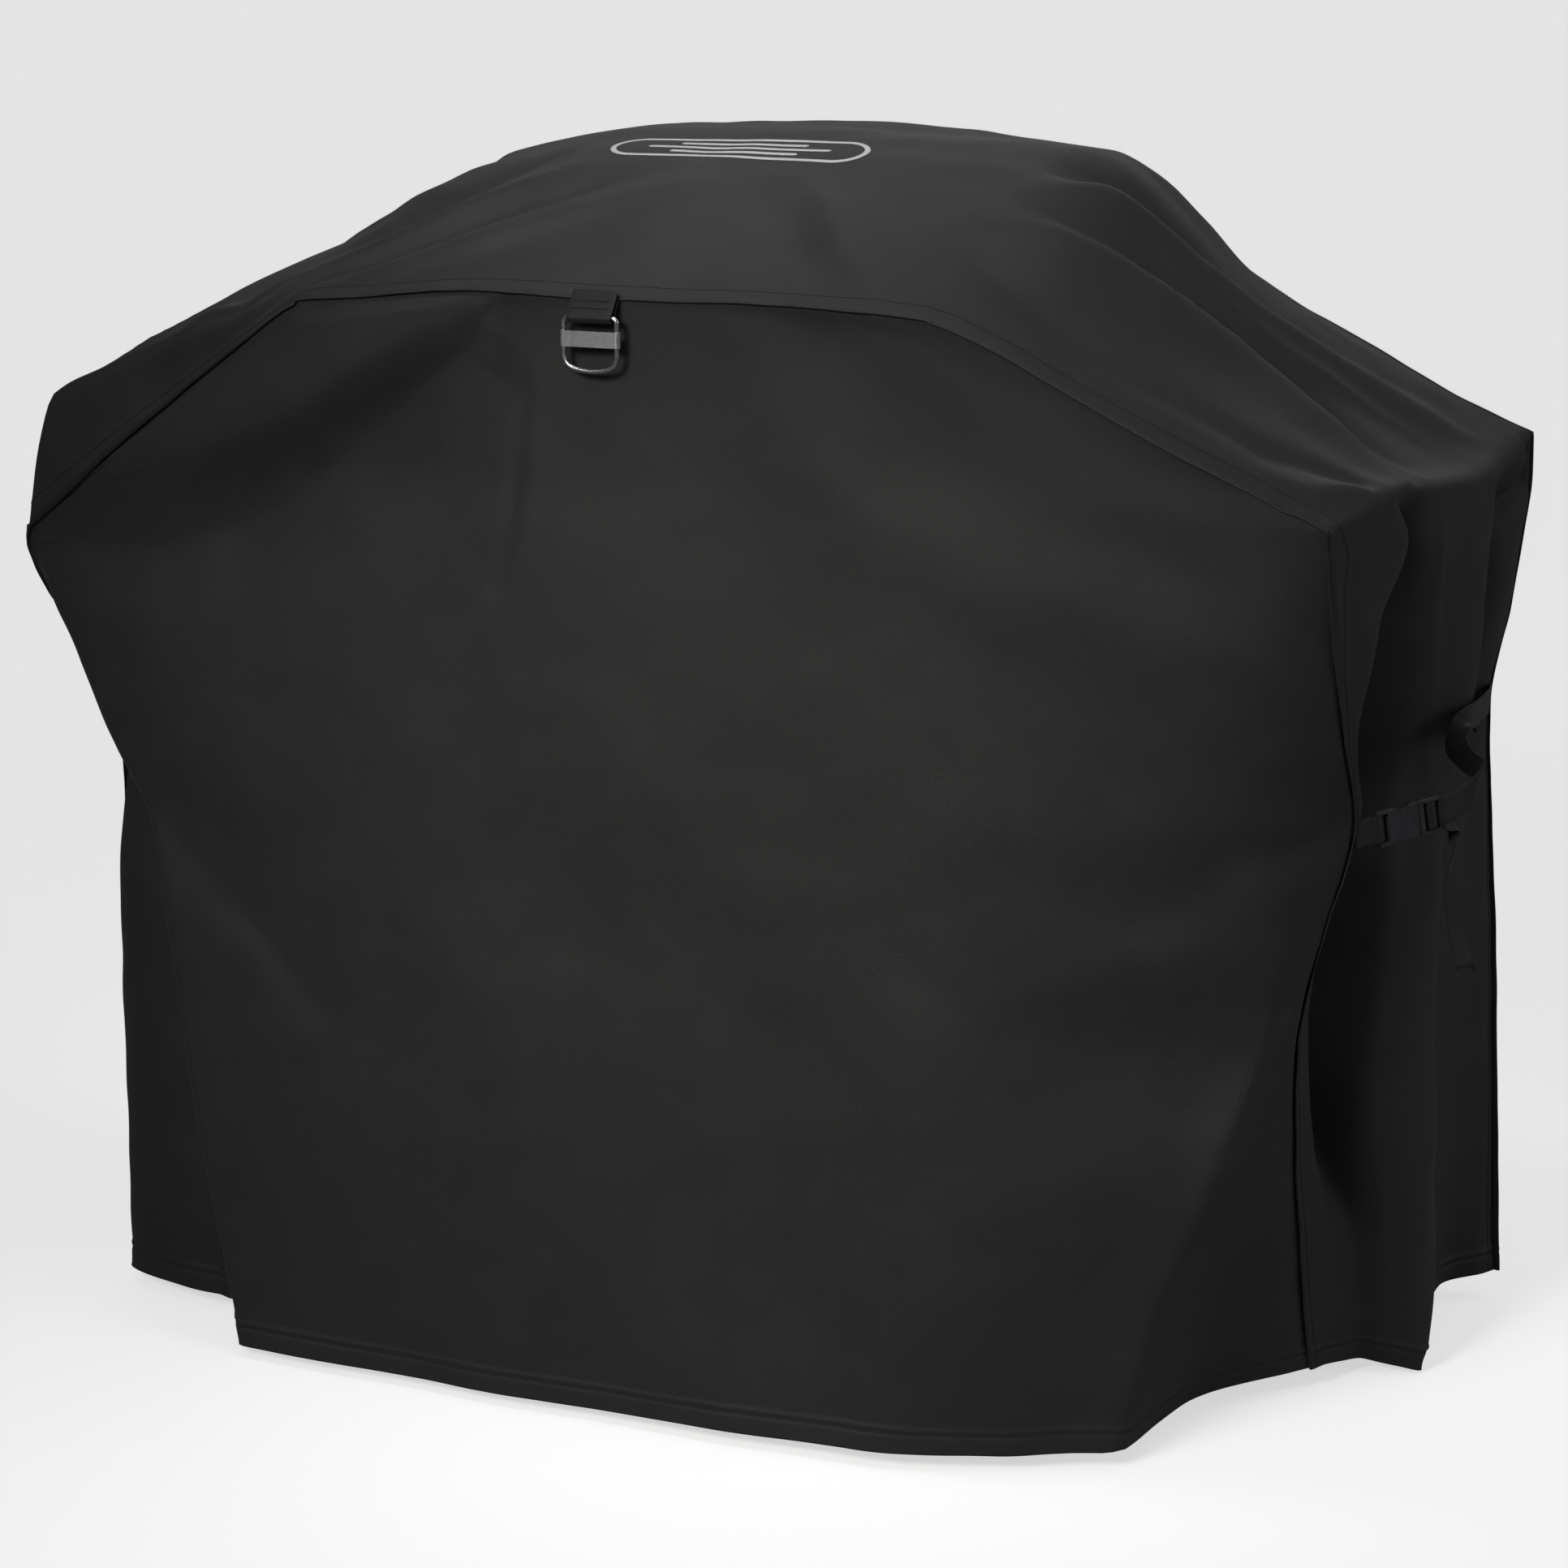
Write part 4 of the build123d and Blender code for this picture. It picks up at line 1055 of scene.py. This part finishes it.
def badge():
    """Plain printed badge: a slot-shaped outline round three bars, following the cloth."""
    tree = BVHTree.FromPolygons(strip.reshape(-1, 3).tolist(), grid_quads(strip).tolist())
    verts, faces = [], []

    def place(x, y):
        verts.append(on_hood(tree, BADGE_CENTRE[0] + x, BADGE_CENTRE[1] + y))

    outer = stadium(*BADGE_SIZE, 28)
    inner = stadium(BADGE_SIZE[0] - 2 * BADGE_LINE, BADGE_SIZE[1] - 2 * BADGE_LINE, 28)
    for (ax, ay), (bx, by) in zip(outer, inner):
        for t in (0, 0.5, 1):
            place(ax + (bx - ax) * t, ay + (by - ay) * t)
    count = len(outer)
    for k in range(count):
        a, b = k * 3, (k + 1) % count * 3
        faces += [(a, b, b + 1, a + 1), (a + 1, b + 1, b + 2, a + 2)]
    for row, share in ((1, 0.50), (0, 0.72), (-1, 0.50)):
        long, tall = BADGE_SIZE[0] * share, 0.0060
        base, cells = len(verts), 60
        for k in range(cells + 1):
            x = long * (k / cells - 0.5)
            from_end = max(0.0, abs(x) - (long - tall) / 2)
            half = math.sqrt(max(1e-8, (tall / 2) ** 2 - from_end ** 2))
            for t in (-1, 0, 1):
                place(x, row * 0.0135 + half * t)
        for k in range(cells):
            a, b = base + k * 3, base + (k + 1) * 3
            faces += [(a, b, b + 1, a + 1), (a + 1, b + 1, b + 2, a + 2)]
    piece = link_mesh("printed_badge", verts, faces)
    mesh = bmesh.new()
    mesh.from_mesh(piece.data)
    bmesh.ops.recalc_face_normals(mesh, faces=mesh.faces)
    if sum(face.normal.z for face in mesh.faces) < 0:
        bmesh.ops.reverse_faces(mesh, faces=mesh.faces)
    mesh.to_mesh(piece.data)
    mesh.free()
    piece.data.polygons.foreach_set("use_smooth", [True] * len(piece.data.polygons))
    shell = piece.modifiers.new("ink", "SOLIDIFY")
    shell.thickness, shell.offset = 0.0004, -1
    piece.data.materials.append(INK_FINISH)
    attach(piece, "cover")
    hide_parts("badge")


badge()

# ---- finishes of the CAD pieces ------------------------------------------------------------------
FINISH_OF = {"buckle_plastic": PLASTIC_FINISH, "ring_steel": RING_FINISH, "plate_steel": PLATE_FINISH,
             "webbing": WEBBING_FINISH, "cover_fabric": CLOTH_FINISH, "badge_print": INK_FINISH}
for node in frame["nodes"].values():
    for slot in node.material_slots:
        slot.material = FINISH_OF.get(slot.material.name, slot.material)


# ---- floor, light and camera -------------------------------------------------------------------
CAMERA_AT, CAMERA_AIM, CAMERA_LENS = (1.4556, -3.2375, 1.3754), (0, 0, 0.55), 84.97
FLOOR_HALF = 400


def pale_floor():
    """White paper sweep: pale to look at, and dull in the light that it sends back up."""
    paper = Nodes("floor_pale", (0.30, 0.30, 0.31), 0.95)
    nodes, links = paper.tree.nodes, paper.tree.links
    bright = nodes.new("ShaderNodeBsdfDiffuse")
    bright.inputs["Color"].default_value = (0.80, 0.80, 0.80, 1)
    glow = nodes.new("ShaderNodeEmission")
    glow.inputs["Strength"].default_value = 0.62
    both = nodes.new("ShaderNodeAddShader")
    links.new(bright.outputs[0], both.inputs[0])
    links.new(glow.outputs[0], both.inputs[1])
    path = nodes.new("ShaderNodeLightPath")
    mix = nodes.new("ShaderNodeMixShader")
    links.new(path.outputs["Is Camera Ray"], mix.inputs[0])
    links.new(paper.shader.outputs[0], mix.inputs[1])
    links.new(both.outputs[0], mix.inputs[2])
    links.new(mix.outputs[0], nodes["Material Output"].inputs["Surface"])
    return paper.made


def floor():
    mesh = bpy.data.meshes.new("floor")
    size = FLOOR_HALF
    corners = [(-size, -size, 0), (size, -size, 0), (size, size, 0), (-size, size, 0)]
    mesh.from_pydata(corners, [], [(0, 1, 2, 3)])
    mesh.materials.append(pale_floor())
    link("floor", mesh)


def area_light(name, place, aim, size, power, spread=180, colour=(1, 1, 1)):
    """Softbox; spread is how wide its grid lets the light out, in degrees."""
    data = bpy.data.lights.new(name, "AREA")
    data.spread, data.color = math.radians(spread), colour
    data.shape, data.size, data.size_y, data.energy = "RECTANGLE", size[0], size[1], power
    lamp = link(name, data)
    lamp.location = place
    lamp.rotation_euler = (Vector(aim) - Vector(place)).to_track_quat("-Z", "Y").to_euler()


def sun(name, towards, spread, strength, colour=(1, 1, 1)):
    """Soft distant light from the given direction; spread is its disc's angle in degrees."""
    data = bpy.data.lights.new(name, "SUN")
    data.color = colour
    data.energy, data.angle = strength, math.radians(spread)
    lamp = link(name, data)
    lamp.rotation_euler = Vector(towards).to_track_quat("Z", "Y").to_euler()


def world(light, seen):
    """Even light from all round, with a white background."""
    made = bpy.data.worlds.new("studio")
    bpy.context.scene.world = made
    made.use_nodes = True
    nodes, links = made.node_tree.nodes, made.node_tree.links
    lit = nodes["Background"]
    lit.inputs[0].default_value = (0.90, 0.95, 1.08, 1)
    lit.inputs[1].default_value = light
    white = nodes.new("ShaderNodeBackground")
    white.inputs[0].default_value = (1, 1, 1, 1)
    white.inputs[1].default_value = seen
    path = nodes.new("ShaderNodeLightPath")
    mix = nodes.new("ShaderNodeMixShader")
    links.new(path.outputs["Is Camera Ray"], mix.inputs[0])
    links.new(lit.outputs[0], mix.inputs[1])
    links.new(white.outputs[0], mix.inputs[2])
    links.new(mix.outputs[0], nodes["World Output"].inputs[0])


def camera():
    data = bpy.data.cameras.new("camera")
    data.sensor_width, data.lens = 36, CAMERA_LENS
    made = link("camera", data)
    made.location = CAMERA_AT
    aim = Vector(CAMERA_AIM) - made.location
    made.rotation_euler = aim.to_track_quat("-Z", "Y").to_euler()
    bpy.context.scene.camera = made


floor()
world(0.035, 1.0)
sun("overhead", (0.20, 0.0, 0.97), 60, 0.34, (0.97, 0.98, 1.0))
sun("backdrop", (-0.30, 0.91, 0.28), 44, 0.22, (0.98, 0.99, 1.0))
area_light("key", (-0.20, -3.0, 2.1), (0.16, -0.3, 0.42), (1.2, 0.9), 4.0, 42, (1.0, 0.985, 0.95))
area_light("hood", (0.0, -0.45, 2.5), (0.0, -0.06, 1.15), (0.5, 0.4), 0.75, 42, (0.98, 0.99, 1.0))
sun("side", (0.93, 0.12, 0.30), 30, 0.40, (0.97, 0.98, 1.0))
camera()
bpy.context.scene.view_settings.view_transform = "Standard"
bpy.context.scene.view_settings.look = "None"
